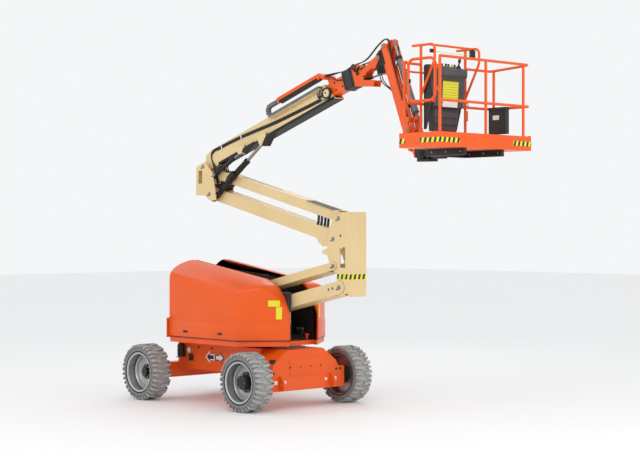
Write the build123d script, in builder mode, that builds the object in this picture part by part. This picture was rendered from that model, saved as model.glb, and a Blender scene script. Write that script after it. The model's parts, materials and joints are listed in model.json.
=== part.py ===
from build123d import *
from math import atan2, cos, degrees, hypot, radians, sin, sqrt
import os

# Articulating boom lift, in millimetres.
# +X is the drive end and the way the boom reaches, +Y is left, +Z is up.
# The origin is on the ground under the middle of the slew ring.

# ---------------------------------------------------------------- wheels
WHEELBASE = 2340
TRACK = 1960
TYRE_RADIUS = 424
TYRE_WIDTH = 330
TREAD_RADIUS = 398
TREAD_HALF_WIDTH = 153
TREAD_SHOULDER = 34
LUG_COUNT = 17
LUG_ROOT = 366
LUG_GAP = 6
LUG_SWEEP = 32
LUG_WIDTH = 36
LUG_END_WIDTH = 42
LUG_SHOULDER = (24, 30)
BEAD_RADIUS = 300
RIM_GAP = 0.3
RIM_WIDTH = 290
RIM_WALL = 9
RIM_LIP = 16
DISC_SETBACK = 175
DISC_THICKNESS = 14
DRIVE_HUB_RADIUS = 98
DRIVE_HUB_OUT = 120
DRIVE_FLANGE_RADIUS = 150
STEER_HUB_RADIUS = 62
STEER_HUB_OUT = 62
STEER_FLANGE_RADIUS = 115
HUB_FLANGE = 16
MOTOR_RADIUS = 125
BEARING_GAP = 0.4

# ---------------------------------------------------------------- chassis
FRAME_HALF_WIDTH = 440
FRAME_BOTTOM = 460
FRAME_TOP = 855
FRAME_WALL = 14
BEAM_HALF_LENGTH = 618
BEAM_BOTTOM = 320
BEAM_TOP = 550
BEAM_DEPTH = 190
DRIVE_BOX_REAR = 860
DRIVE_BOX_FRONT = 1340
DRIVE_BOX_HALF_WIDTH = 786
DRIVE_BOX_BOTTOM = 265
DRIVE_BOX_END_TOP = 567
DRIVE_BOX_TOP_HALF_WIDTH = 349
DRIVE_BOX_SHOULDER = (613, 665)
DRIVE_BOX_KNEE = (655, 580)
LUG_REACH = 100
LUG_THICKNESS = 30
LUG_Y = 500
LUG_BOTTOM = 285
LUG_TOP = 480
LUG_BORE_RADIUS = 22
KINGPIN_Y = 720
KINGPIN_RADIUS = 26
KINGPIN_EAR = 22
KINGPIN_EAR_HALF_WIDTH = 58
KNUCKLE_RADIUS = 52
KNUCKLE_GAP = 1.0
SPINDLE_RADIUS = 34
STEER_ARM = 150
STEER_ARM_WIDTH = 46
STEER_ARM_THICKNESS = 20
TIE_ROD_RADIUS = 16
TIE_ROD_EYE = 26
TIE_ROD_EYE_HEIGHT = 30
TIE_ROD_SEAT = 0.3
SLEW_RING_RADIUS = 430
SLEW_RING_WALL = 70
SLEW_GAP = 0.3
CANISTER_RADIUS = 58
CANISTER_HEIGHT = 215
CANISTER_X = -935
CANISTER_SHELF = 12

# ---------------------------------------------------------------- turntable
PLATE_BOTTOM = 900
PLATE_THICKNESS = 66
PLATE_INSET = 12
TAIL_RADIUS = 1147
HOOD_HALF_WIDTH = 874
HOOD_CORNER_X = 830
HOOD_NOSE_X = 1310
CHANNEL_HALF_WIDTH = 276
HOOD_WALL = 20
HOOD_SEAT = 0.3
HOOD_SHOULDER_DROP = 0.33
HOOD_FLAT = 120
WEIGHT_RADIUS = 1190
WEIGHT_FRONT_X = -760
WEIGHT_HEIGHT = 287
WEIGHT_GAP = 8
CHEEK_GAP = 6
CHEEK_THICKNESS = 22
LINER_THICKNESS = 16
LINER_FRONT_X = 1190
LINER_REAR_X = -1000
LINER_TOP_GAP = 45
BATTERY_LENGTH = 1250
BATTERY_WIDTH = 420
BATTERY_HEIGHT = 520
BATTERY_X = -60
CONTROL_BOX = (150, 62, 250)
CONTROL_BOX_X = 1180
CONTROL_BOX_Z = 1545

# ---------------------------------------------------------------- tower linkage
TOWER_ANGLE = 12.4
TOWER_LENGTH = 2800
LOWER_ARM_REAR = (-635, 1476)
LOWER_LINK_REAR = (-515, 1174)
LOWER_ARM_DEPTH = 118
LOWER_LINK_DEPTH = 186
LOWER_HALF_WIDTH = 172
ARM_WALL = 12
FORK_LENGTH = 165
UPPER_ANGLE = -14.0
UPPER_ARM_FRONT = (2190, 2750)
UPPER_LINK_FRONT = (2082, 2460)
UPPER_ARM_DEPTH = 145
UPPER_LINK_DEPTH = 188
UPPER_LANE = (-70, 135)
PIN_RADIUS = 25
PIN_CLEARANCE = 0.05
UPRIGHT_HALF_WIDTH = 155
UPRIGHT_PLATE = 15
UPRIGHT_FRONT_X = 2435
UPRIGHT_TOP = 2836
UPRIGHT_BOTTOM = 1649
UPPER_UPRIGHT_LANE = (-185, 156)
UPPER_UPRIGHT_REAR_X = -956
TOWER_CYLINDER_BASE = (-140, 1030)
TOWER_CYLINDER_LANE_Y = -225
TOWER_CYLINDER_REACH = 1150
TOWER_BARREL_RADIUS = 34
TOWER_BARREL_LENGTH = 640
TOWER_ROD_RADIUS = 20
TOWER_ROD_LENGTH = 640

# ---------------------------------------------------------------- boom
BOOM_ANGLE = 18.5
BOOM_PIVOT = (-787, 3563)
BOOM_TOP = 210
BOOM_BOTTOM = -58
BOOM_HALF_WIDTH = 90
BOOM_WALL = 8
BOOM_END = 2830
BOOM_LIP = 2986
BOOM_PIN_RADIUS = 30
BOOM_BOSS_RADIUS = 52
FLY_HALF_WIDTH = 68
FLY_GAP = 14
PAD_GAP = 0.4
PAD_LENGTH = 120
FLY_REAR = 1000
FLY_TRAVEL = 1500
NOSE_HALF_WIDTH = 75
NOSE_PLATE = 20
CYLINDER_LANE_Y = -120
BRACKET_PLATE = 14
BRACKET_LANE = (-165, -75)
EYE_WIDTH = 40
LIFT_BASE = (-600, 3060)
LIFT_EYE = (550, 3880)
LIFT_BARREL_RADIUS = 45
LIFT_BARREL_LENGTH = 973
LIFT_ROD_RADIUS = 24
LIFT_ROD_LENGTH = 960
LEVEL_BASE = (-640, 3390)
LEVEL_EYE = (67, 3768)
LEVEL_BARREL_RADIUS = 30
LEVEL_BARREL_LENGTH = 590
LEVEL_ROD_RADIUS = 15
LEVEL_ROD_LENGTH = 600
CARRIER_LANE = (-160, -98)
CARRIER_CENTRE = (1705, 256)
CARRIER_OUTER = 98
CARRIER_STRAND = 45
CARRIER_LOWER_END = 2780
CARRIER_UPPER_END = 2700
SHELF_START = 1650
SHELF_END = 2790
SHELF_THICKNESS = 6
SHELF_MARGIN = 4
TROUGH_START = 1900
TROUGH_END = 2840
TROUGH_WALL = 6
TROUGH_LANE = (-172, -86)
TROUGH_LOW = 285
TROUGH_HIGH = 371

# ---------------------------------------------------------------- jib
JIB_BASE_PIVOT = (2874, 4959)
SLAVE_BASE = (2320, 4645)
SLAVE_EYE = (3020, 4760)
SLAVE_BARREL_RADIUS = 25
SLAVE_BARREL_LENGTH = 400
SLAVE_ROD_RADIUS = 14
SLAVE_ROD_LENGTH = 390
JIB_ANGLE = -69.0
JIB_LENGTH = 1240
JIB_ARM_TOP = (3055, 5100)
JIB_LINK_TOP = (3070, 4840)
JIB_ARM_LANE = (105, 135)
JIB_LINK_LANE = (80, 100)
JIB_ARM_DEPTH = 92
JIB_LINK_DEPTH = 60
JIB_BASE_HALF_WIDTH = 50
JIB_BASE_PLATE = 20
JIB_PIN_RADIUS = 18
JIB_CYLINDER_EYE = (3130, 5158)
JIB_CYLINDER_BASE = (1119, 125)
JIB_BARREL_RADIUS = 45
JIB_BARREL_LENGTH = 930
JIB_ROD_RADIUS = 20
JIB_ROD_LENGTH = 560
JIB_ROD_EYE_RADIUS = 30
HEAD_HALF_WIDTH = 75
HEAD_PLATE = 20
CROSS_TUBE_RADIUS = 35
CROSS_TUBE_RISE = 52
HEAD_FLANGE = 10
FLANGE_GAP = 5
ROTATOR_X = 3680
ROTATOR_RADIUS = 90
ROTATOR_BOTTOM = 3530
ROTATOR_HEIGHT = 310

# ---------------------------------------------------------------- platform
DECK_BACK_X = 4090
DECK_LENGTH = 710
DECK_HALF_WIDTH = 900
DECK_BOTTOM = 3640
DECK_THICKNESS = 30
TOE_BOARD_TOP = 3830
TOE_BOARD_WALL = 14
RAIL_RADIUS = 19
CROSS_RAIL_RADIUS = 18
GUARD_RADIUS = 17
GUARD_BAR_RADIUS = 15
RAIL_BEND = 70
SHORT_BEND = 45
MID_RAIL_Z = 4230
TOP_RAIL_Z = 4785
GUARD_LANE = (-510, 360)
BACK_RAIL_Z = 4745
SIDE_POST_X = 4165
FRONT_POSTS = (-881, 0, 760)
GUARD_TOP_Z = 5000
GUARD_REACH = 245
GATE_REAR_X = 4235
GATE_FRONT_X = 4700
GATE_BOTTOM_Z = 4231
GATE_TOP_Z = 4771
CONSOLE_LANE = (-470, 110)
CONSOLE_GAP = 0.4
CONSOLE_DEPTH = 250
CONSOLE_BOTTOM_Z = 3880
CONSOLE_TOP_Z = 4750
SUPPORT_BEAM_Y = 370
SUPPORT_BEAM_WIDTH = 60
SUPPORT_BOTTOM = 3552
EAR_THICKNESS = 24
MAST_X = 3840
MAST_PLATE = 20
CROSSBAR_X = 4110
BEARER_END_X = 4750
DECK_SEAT = 0.3
RAIL_SEAT = 0.3
GUARD_TAIL = 150
GUARD_KNEE_Z = 4800
GUARD_LOW_Z = 4340
GATE_HINGE_X = 4740
GATE_LUGS = (4360, 4640)
GATE_LUG = 12
GATE_PIN_RADIUS = 8
GATE_SLEEVE = 40
GATE_SEAT = 0.5
GATE_BEND = 90
CONSOLE_WAIST_Z = 4180
DOCUMENT_BOX_X = 4300
DOCUMENT_BOX_Z = 3880

os.makedirs("parts", exist_ok=True)


# ---------------------------------------------------------------- helpers
def side_plane(origin, angle, y):
    """Side-view plane at y: its x runs along the angle, its y stands square to that."""
    return Plane(
        origin=(origin[0], y, origin[1]),
        x_dir=(cos(radians(angle)), 0, sin(radians(angle))),
        z_dir=(0, -1, 0),
    )


def side_face(points, y):
    """Face at y with straight edges through side-view (x, z) points."""
    with BuildSketch(side_plane((0, 0), 0, y)) as face:
        with BuildLine():
            Polyline(*points, close=True)
        make_face()
    return face.sketch


def disc(centre, y, radius, bore=0):
    """Round face at y on a side-view centre, with an optional bore."""
    with BuildSketch(side_plane(centre, 0, y)) as face:
        Circle(radius)
        if bore:
            Circle(bore, mode=Mode.SUBTRACT)
    return face.sketch


def along(start, angle, distance, rise=0):
    """Side-view point at a distance along an angled line, and square to it."""
    step_x = distance * cos(radians(angle)) - rise * sin(radians(angle))
    step_z = distance * sin(radians(angle)) + rise * cos(radians(angle))
    return (start[0] + step_x, start[1] + step_z)


def span(start, end):
    """Length and angle of the side-view line from start to end."""
    run = end[0] - start[0]
    rise = end[1] - start[1]
    return hypot(run, rise), degrees(atan2(rise, run))


def boom_point(distance, rise):
    """Side-view point given along the main boom and square to it."""
    return along(BOOM_PIVOT, BOOM_ANGLE, distance, rise)


def tube_end(start, toward):
    """Plane square to a tube at its start."""
    return Plane(origin=start, z_dir=Vector(*toward) - Vector(*start))


def save(piece, label):
    """Label a finished piece and write it as its own STEP file."""
    piece.part.label = label
    export_step(piece.part, f"parts/{label}.step")


PLATE_TOP = PLATE_BOTTOM + PLATE_THICKNESS
AXLE_X = WHEELBASE / 2
WHEEL_Y = TRACK / 2
disc_inner_y = WHEEL_Y + RIM_WIDTH / 2 - DISC_SETBACK

# ================================================================ chassis
with BuildPart() as chassis_frame:
    # main box between the axles
    with BuildSketch(Plane.YZ.offset(-AXLE_X + BEAM_DEPTH / 2)):
        with Locations((0, (FRAME_BOTTOM + FRAME_TOP) / 2)):
            Rectangle(2 * FRAME_HALF_WIDTH, FRAME_TOP - FRAME_BOTTOM)
    extrude(amount=AXLE_X - BEAM_DEPTH / 2 + DRIVE_BOX_REAR)
    # box over the drive axle, with sloping shoulders
    drive_outline = [
        (DRIVE_BOX_TOP_HALF_WIDTH, FRAME_TOP),
        DRIVE_BOX_SHOULDER,
        DRIVE_BOX_KNEE,
        (DRIVE_BOX_HALF_WIDTH, DRIVE_BOX_END_TOP),
        (DRIVE_BOX_HALF_WIDTH, DRIVE_BOX_BOTTOM),
    ]
    with BuildSketch(Plane.YZ.offset(DRIVE_BOX_REAR)):
        with BuildLine():
            Polyline(*drive_outline, *[(-y, z) for y, z in reversed(drive_outline)], close=True)
        make_face()
    extrude(amount=DRIVE_BOX_FRONT - DRIVE_BOX_REAR)
    # tie-down lugs at the drive end
    lug_points = [
        (DRIVE_BOX_FRONT, LUG_TOP),
        (DRIVE_BOX_FRONT + LUG_REACH * 0.45, LUG_TOP),
        (DRIVE_BOX_FRONT + LUG_REACH, (LUG_TOP + LUG_BOTTOM) / 2),
        (DRIVE_BOX_FRONT + LUG_REACH, LUG_BOTTOM),
        (DRIVE_BOX_FRONT, LUG_BOTTOM),
    ]
    lug_eye = (DRIVE_BOX_FRONT + LUG_REACH / 2, (LUG_TOP + LUG_BOTTOM) / 2 - 25)
    for lug_centre in (-LUG_Y, LUG_Y):
        extrude(side_face(lug_points, lug_centre + LUG_THICKNESS / 2), amount=LUG_THICKNESS)
        extrude(
            disc(lug_eye, lug_centre + LUG_THICKNESS / 2, LUG_BORE_RADIUS),
            amount=LUG_THICKNESS,
            mode=Mode.SUBTRACT,
        )
    # shelf that carries the canister
    with BuildSketch(Plane.XY.offset(FRAME_TOP - CANISTER_HEIGHT - CANISTER_SHELF)):
        with Locations((CANISTER_X, -FRAME_HALF_WIDTH)):
            Rectangle(2 * CANISTER_RADIUS, 4 * CANISTER_RADIUS)
    extrude(amount=CANISTER_SHELF)
save(chassis_frame, "chassis_frame")

with BuildPart() as steer_axle:
    with BuildSketch(Plane.XY.offset(BEAM_BOTTOM)):
        with Locations((-AXLE_X, 0)):
            Rectangle(BEAM_DEPTH, 2 * BEAM_HALF_LENGTH)
    extrude(amount=BEAM_TOP - BEAM_BOTTOM)
    # ears above and below each knuckle, joined by the kingpin
    for ear_bottom in (BEAM_BOTTOM, BEAM_TOP - KINGPIN_EAR):
        with BuildSketch(Plane.XY.offset(ear_bottom)):
            with Locations((-AXLE_X, 0)):
                Rectangle(2 * KINGPIN_EAR_HALF_WIDTH, 2 * KINGPIN_Y)
            with Locations((-AXLE_X, -KINGPIN_Y), (-AXLE_X, KINGPIN_Y)):
                Circle(KINGPIN_EAR_HALF_WIDTH)
        extrude(amount=KINGPIN_EAR)
    with BuildSketch(Plane.XY.offset(BEAM_BOTTOM)):
        with Locations((-AXLE_X, -KINGPIN_Y), (-AXLE_X, KINGPIN_Y)):
            Circle(KINGPIN_RADIUS)
    extrude(amount=BEAM_TOP - BEAM_BOTTOM)
save(steer_axle, "steer_axle")

with BuildPart() as drive_motors:
    motor_inner = DRIVE_BOX_HALF_WIDTH
    motor_outer = disc_inner_y - BEARING_GAP
    for facing in (-1, 1):
        with BuildSketch(Plane.XZ.offset(-facing * motor_inner)):
            with Locations((AXLE_X, TYRE_RADIUS)):
                Circle(MOTOR_RADIUS)
        extrude(amount=-facing * (motor_outer - motor_inner))
save(drive_motors, "drive_motors")

with BuildPart() as slew_ring:
    with BuildSketch(Plane.XY.offset(FRAME_TOP)):
        Circle(SLEW_RING_RADIUS)
        Circle(SLEW_RING_RADIUS - SLEW_RING_WALL, mode=Mode.SUBTRACT)
    extrude(amount=PLATE_BOTTOM - SLEW_GAP - FRAME_TOP)
save(slew_ring, "slew_ring")

# ================================================================ steering
knuckle_bottom = BEAM_BOTTOM + KINGPIN_EAR + KNUCKLE_GAP
knuckle_top = BEAM_TOP - KINGPIN_EAR - KNUCKLE_GAP
arm_top = TYRE_RADIUS
for label, facing in (("knuckle_right", -1), ("knuckle_left", 1)):
    with BuildPart() as knuckle:
        with BuildSketch(Plane.XY.offset(knuckle_bottom)):
            with Locations((-AXLE_X, facing * KINGPIN_Y)):
                Circle(KNUCKLE_RADIUS)
        extrude(amount=knuckle_top - knuckle_bottom)
        # spindle out to the hub
        with BuildSketch(Plane.XZ.offset(-facing * KINGPIN_Y)):
            with Locations((-AXLE_X, TYRE_RADIUS)):
                Circle(SPINDLE_RADIUS)
        extrude(amount=-facing * (disc_inner_y - BEARING_GAP - KINGPIN_Y))
        # steering arm
        with BuildSketch(Plane.XY.offset(arm_top - STEER_ARM_THICKNESS)):
            with Locations((-AXLE_X - STEER_ARM / 2, facing * KINGPIN_Y)):
                SlotCenterToCenter(STEER_ARM, STEER_ARM_WIDTH)
        extrude(amount=STEER_ARM_THICKNESS)
        with BuildSketch(Plane.XY.offset(knuckle_bottom)):
            with Locations((-AXLE_X, facing * KINGPIN_Y)):
                Circle(KINGPIN_RADIUS + PIN_CLEARANCE)
        extrude(amount=knuckle_top - knuckle_bottom, mode=Mode.SUBTRACT)
    save(knuckle, label)

with BuildPart() as tie_rod:
    tie_rod_x = -AXLE_X - STEER_ARM
    eye_bottom = arm_top + TIE_ROD_SEAT
    with BuildSketch(Plane.XY.offset(eye_bottom)):
        with Locations((tie_rod_x, -KINGPIN_Y), (tie_rod_x, KINGPIN_Y)):
            Circle(TIE_ROD_EYE)
    extrude(amount=TIE_ROD_EYE_HEIGHT)
    with BuildSketch(Plane.XZ.offset(-KINGPIN_Y)):
        with Locations((tie_rod_x, eye_bottom + TIE_ROD_RADIUS)):
            Circle(TIE_ROD_RADIUS)
    extrude(amount=2 * KINGPIN_Y)
save(tie_rod, "tie_rod")

# ================================================================ wheels
# name, which axle, which side, driven
WHEELS = [
    ("front_right", 1, -1, True),
    ("front_left", 1, 1, True),
    ("rear_right", -1, -1, False),
    ("rear_left", -1, 1, False),
]
tyre_half = TYRE_WIDTH / 2
rim_half = RIM_WIDTH / 2

# one lug at the top of a wheel whose outer side faces -Y
with BuildPart() as tread_lug:
    lug_end_x = -LUG_SWEEP / 2 - LUG_END_WIDTH / 2
    lug_plan = [
        (LUG_SWEEP / 2 - LUG_WIDTH / 2, -LUG_GAP),
        (LUG_SWEEP / 2 + LUG_WIDTH / 2, -LUG_GAP),
        (lug_end_x + LUG_END_WIDTH, -tyre_half),
        (lug_end_x, -tyre_half),
    ]
    with BuildSketch(Plane.XY.offset(LUG_ROOT)):
        with BuildLine():
            Polyline(*lug_plan, close=True)
        make_face()
    extrude(amount=TYRE_RADIUS - LUG_ROOT)
    # sloping shoulder
    with BuildSketch(Plane.YZ):
        with BuildLine():
            Polyline(
                (LUG_SHOULDER[0] - tyre_half, TYRE_RADIUS),
                (-tyre_half, TYRE_RADIUS - LUG_SHOULDER[1]),
                (-tyre_half, TYRE_RADIUS),
                close=True,
            )
        make_face()
    extrude(amount=LUG_SWEEP + LUG_WIDTH, both=True, mode=Mode.SUBTRACT)

# faceted carcass with two staggered rows of lugs
with BuildPart() as lugged_tyre:
    with BuildSketch(Plane.XZ.offset(-TREAD_HALF_WIDTH)):
        RegularPolygon(TREAD_RADIUS, 2 * LUG_COUNT)
        RegularPolygon(BEAD_RADIUS, 2 * LUG_COUNT, major_radius=False, mode=Mode.SUBTRACT)
    extrude(amount=2 * TREAD_HALF_WIDTH)
    tread_edges = [
        edge
        for edge in lugged_tyre.faces().filter_by(Axis.Y).edges()
        if hypot(edge.center().X, edge.center().Z) > (TREAD_RADIUS + BEAD_RADIUS) / 2
    ]
    chamfer(tread_edges, TREAD_SHOULDER)
    lug_pitch = 360 / LUG_COUNT
    inner_lug = mirror(tread_lug.part, about=Plane.XZ).rotate(Axis.Y, lug_pitch / 2)
    add(
        [
            lug.rotate(Axis.Y, index * lug_pitch)
            for index in range(LUG_COUNT)
            for lug in (tread_lug.part, inner_lug)
        ]
    )

handed_tyres = {-1: lugged_tyre.part, 1: mirror(lugged_tyre.part, about=Plane.XZ)}

for name, end, facing, driven in WHEELS:
    # wheel section plane: local x points away from the machine, local y is the radius
    section = Plane(
        origin=(end * AXLE_X, facing * WHEEL_Y, TYRE_RADIUS),
        x_dir=(0, facing, 0),
        z_dir=(facing, 0, 0),
    )
    axle = Axis((end * AXLE_X, 0, TYRE_RADIUS), (0, 1, 0))

    with BuildPart() as tyre:
        add(handed_tyres[facing].moved(Location((end * AXLE_X, facing * WHEEL_Y, TYRE_RADIUS))))
    save(tyre, f"tyre_{name}")

    disc_out = rim_half - DISC_SETBACK
    rim_outer = BEAD_RADIUS - RIM_GAP
    rim_inner = rim_outer - RIM_WALL
    flange_radius = DRIVE_FLANGE_RADIUS if driven else STEER_FLANGE_RADIUS
    with BuildPart() as rim:
        with BuildSketch(section):
            with BuildLine():
                Polyline(
                    (-rim_half, rim_inner),
                    (-rim_half, rim_outer),
                    (rim_half, rim_outer),
                    (rim_half, rim_inner - RIM_LIP),
                    (rim_half - RIM_LIP, rim_inner),
                    (disc_out + DISC_THICKNESS, rim_inner),
                    (disc_out + DISC_THICKNESS, flange_radius - 20),
                    (disc_out, flange_radius - 20),
                    (disc_out, rim_inner),
                    close=True,
                )
            make_face()
        revolve(axis=axle)
    save(rim, f"rim_{name}")

    hub_radius = DRIVE_HUB_RADIUS if driven else STEER_HUB_RADIUS
    hub_out = DRIVE_HUB_OUT if driven else STEER_HUB_OUT
    with BuildPart() as hub:
        with BuildSketch(section):
            with BuildLine():
                Polyline(
                    (disc_out, 0),
                    (disc_out, flange_radius - 20 - RIM_GAP),
                    (disc_out + DISC_THICKNESS + RIM_GAP, flange_radius - 20 - RIM_GAP),
                    (disc_out + DISC_THICKNESS + RIM_GAP, flange_radius),
                    (disc_out + DISC_THICKNESS + HUB_FLANGE, flange_radius),
                    (disc_out + DISC_THICKNESS + HUB_FLANGE, hub_radius),
                    (disc_out + DISC_THICKNESS + hub_out, hub_radius),
                    (disc_out + DISC_THICKNESS + hub_out, 0),
                    close=True,
                )
            make_face()
        revolve(axis=axle)
    save(hub, f"hub_{name}")

# ================================================================ turntable
HOOD_SLOPE = (HOOD_NOSE_X - HOOD_CORNER_X) / (HOOD_HALF_WIDTH - CHANNEL_HALF_WIDTH)


def hood_front_x(y, inset):
    """Where the slanting front of a hood lies at a given distance from the middle."""
    return HOOD_CORNER_X + (HOOD_HALF_WIDTH - y) * HOOD_SLOPE - inset * hypot(1, HOOD_SLOPE)


def half_plan(z, inset, inner_y):
    """Plan of one side of the turntable: slanting front, straight side and round tail."""
    side = HOOD_HALF_WIDTH - inset
    tail = TAIL_RADIUS - inset
    tail_side = (-sqrt(tail**2 - side**2), side)
    tail_inner = (-sqrt(tail**2 - inner_y**2), inner_y)
    middle = Vector(*tail_side) + Vector(*tail_inner)
    tail_middle = middle * (tail / middle.length)
    with BuildSketch(Plane.XY.offset(z)) as plan:
        with BuildLine():
            Polyline(
                tail_inner,
                (hood_front_x(inner_y, inset), inner_y),
                (hood_front_x(side, inset), side),
                tail_side,
            )
            ThreePointArc(tail_side, (tail_middle.X, tail_middle.Y), tail_inner)
        make_face()
    return plan.sketch


with BuildPart() as turntable_base:
    extrude(half_plan(PLATE_BOTTOM, PLATE_INSET, CHANNEL_HALF_WIDTH), amount=PLATE_THICKNESS)
    mirror(about=Plane.XZ)
    with BuildSketch(Plane.XY.offset(PLATE_BOTTOM)):
        with Locations(((LINER_FRONT_X - TAIL_RADIUS + PLATE_INSET + 40) / 2, 0)):
            Rectangle(LINER_FRONT_X + TAIL_RADIUS - PLATE_INSET - 40, 2 * CHANNEL_HALF_WIDTH + 2)
    extrude(amount=PLATE_THICKNESS)
    # cheeks that carry the tower arms
    cheek_inner = LOWER_HALF_WIDTH + CHEEK_GAP
    cheek_points = [
        (-745, PLATE_TOP),
        (-745, LOWER_ARM_REAR[1]),
        (-700, LOWER_ARM_REAR[1] + 85),
        (-590, LOWER_ARM_REAR[1] + 85),
        (-410, LOWER_LINK_REAR[1] + 90),
        (-300, PLATE_TOP),
    ]
    for y_high in (-cheek_inner, cheek_inner + CHEEK_THICKNESS):
        extrude(side_face(cheek_points, y_high), amount=CHEEK_THICKNESS)
    # pins of the lower arm and the lower link
    for pin_centre in (LOWER_ARM_REAR, LOWER_LINK_REAR):
        extrude(
            disc(pin_centre, cheek_inner + CHEEK_THICKNESS, PIN_RADIUS),
            amount=2 * (cheek_inner + CHEEK_THICKNESS),
        )
    # lugs and pin under the tower cylinder
    lug_half = EYE_WIDTH / 2 + 5
    base_x, base_z = TOWER_CYLINDER_BASE
    lug_outline = [
        (base_x - 70, PLATE_TOP),
        (base_x - 32, base_z + 30),
        (base_x + 32, base_z + 30),
        (base_x + 70, PLATE_TOP),
    ]
    for y_high in (TOWER_CYLINDER_LANE_Y - lug_half, TOWER_CYLINDER_LANE_Y + lug_half + 12):
        extrude(side_face(lug_outline, y_high), amount=12)
    extrude(
        disc(TOWER_CYLINDER_BASE, TOWER_CYLINDER_LANE_Y + lug_half, JIB_PIN_RADIUS),
        amount=2 * lug_half,
    )
save(turntable_base, "turntable_base")

with BuildPart() as counterweight:
    tail_half = sqrt(WEIGHT_RADIUS**2 - WEIGHT_FRONT_X**2)
    with BuildSketch(Plane.XY.offset(PLATE_TOP)):
        with BuildLine():
            ThreePointArc(
                (WEIGHT_FRONT_X, -tail_half), (-WEIGHT_RADIUS, 0), (WEIGHT_FRONT_X, tail_half)
            )
            Line((WEIGHT_FRONT_X, tail_half), (WEIGHT_FRONT_X, -tail_half))
        make_face()
    extrude(amount=WEIGHT_HEIGHT)
save(counterweight, "counterweight")

# hood profile seen from the side, from the nose back over the top
HOOD_PROFILE = [
    (1310, 1370),
    (1175, 1620),
    (1040, 1780),
    (840, 1860),
    (50, 1985),
    (-820, 2120),
    (-1400, 2200),
]
TAIL_ARC = [(1147, 1860), (1060, 2040), (820, 2130)]
HOOD_TOP_SLOPE = degrees(atan2(HOOD_PROFILE[5][1] - HOOD_PROFILE[3][1], 840 + 820))
hinge_origin = (HOOD_PROFILE[4][0], CHANNEL_HALF_WIDTH, HOOD_PROFILE[4][1])


def hood_body(inset, inner_y, bottom):
    """One closed hood, shrunk by an inset on every outer face."""
    with BuildPart() as body:
        extrude(half_plan(bottom, inset, inner_y), amount=1400)
        roof = [(x - inset * 0.7, z - inset) for x, z in HOOD_PROFILE]
        profile = [(1312 - inset * 1.3, bottom), *roof, (-1400, bottom)]
        extrude(side_face(profile, 1200), amount=1400, mode=Mode.INTERSECT)
        # top falls away to the shoulder
        fall_plane = Plane(
            origin=(hinge_origin[0], 0, hinge_origin[2] - inset),
            x_dir=(0, -1, 0),
            z_dir=(-cos(radians(HOOD_TOP_SLOPE)), 0, sin(radians(HOOD_TOP_SLOPE))),
        )
        flat_end = -(CHANNEL_HALF_WIDTH + HOOD_FLAT)
        with BuildSketch(fall_plane):
            with BuildLine():
                Polyline(
                    (flat_end, 0),
                    (flat_end, 400),
                    (flat_end - 800, 400),
                    (flat_end - 800, -800 * HOOD_SHOULDER_DROP),
                    close=True,
                )
            make_face()
        extrude(amount=1500, both=True, mode=Mode.SUBTRACT)
        # rounded top edge round the tail
        with BuildSketch(Plane.YZ):
            with BuildLine():
                ThreePointArc(*[(r - inset, z - inset) for r, z in TAIL_ARC])
                Polyline(
                    (TAIL_ARC[2][0] - inset, TAIL_ARC[2][1] - inset),
                    (TAIL_ARC[2][0] - inset, 2600),
                    (1600, 2600),
                    (1600, TAIL_ARC[0][1] - inset),
                    (TAIL_ARC[0][0] - inset, TAIL_ARC[0][1] - inset),
                )
            make_face()
        revolve(axis=Axis.Z, revolution_arc=180, mode=Mode.SUBTRACT)
    return body.part


hood_bottom = PLATE_TOP + HOOD_SEAT
hood_outside = hood_body(0, CHANNEL_HALF_WIDTH, hood_bottom)
hood_inside = hood_body(HOOD_WALL, CHANNEL_HALF_WIDTH - 40, hood_bottom - 40)
with BuildPart() as hood_left:
    add(hood_outside)
    add(hood_inside, mode=Mode.SUBTRACT)
    # room for the counterweight
    with BuildSketch(Plane.XY.offset(hood_bottom - 20)):
        with Locations((WEIGHT_FRONT_X + WEIGHT_GAP - 500, 600)):
            Rectangle(1000, 1200)
    extrude(amount=WEIGHT_HEIGHT + WEIGHT_GAP + 20 - HOOD_SEAT, mode=Mode.SUBTRACT)
save(hood_left, "hood_left")

with BuildPart() as hood_right:
    add(mirror(hood_left.part, about=Plane.XZ))
save(hood_right, "hood_right")

with BuildPart() as channel_liners:
    liner_points = [
        (LINER_FRONT_X, PLATE_TOP),
        (LINER_FRONT_X, 1480),
        (1030, 1700),
        (840, HOOD_PROFILE[3][1] - HOOD_WALL - LINER_TOP_GAP),
        (50, HOOD_PROFILE[4][1] - HOOD_WALL - LINER_TOP_GAP),
        (-820, HOOD_PROFILE[5][1] - HOOD_WALL - LINER_TOP_GAP),
        (LINER_REAR_X, 1850),
        (LINER_REAR_X, PLATE_TOP + WEIGHT_HEIGHT),
        (WEIGHT_FRONT_X + WEIGHT_GAP, PLATE_TOP + WEIGHT_HEIGHT),
        (WEIGHT_FRONT_X + WEIGHT_GAP, PLATE_TOP),
    ]
    liner_y = CHANNEL_HALF_WIDTH + 6
    for y_high in (-liner_y, liner_y + LINER_THICKNESS):
        extrude(side_face(liner_points, y_high), amount=LINER_THICKNESS)
save(channel_liners, "channel_liners")

with BuildPart() as battery_packs:
    for facing in (-1, 1):
        battery_y = CHANNEL_HALF_WIDTH + 6 + LINER_THICKNESS + BATTERY_WIDTH / 2
        with BuildSketch(Plane.XY.offset(PLATE_TOP)):
            with Locations((BATTERY_X, facing * battery_y)):
                Rectangle(BATTERY_LENGTH, BATTERY_WIDTH)
        extrude(amount=BATTERY_HEIGHT)
save(battery_packs, "battery_packs")

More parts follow.
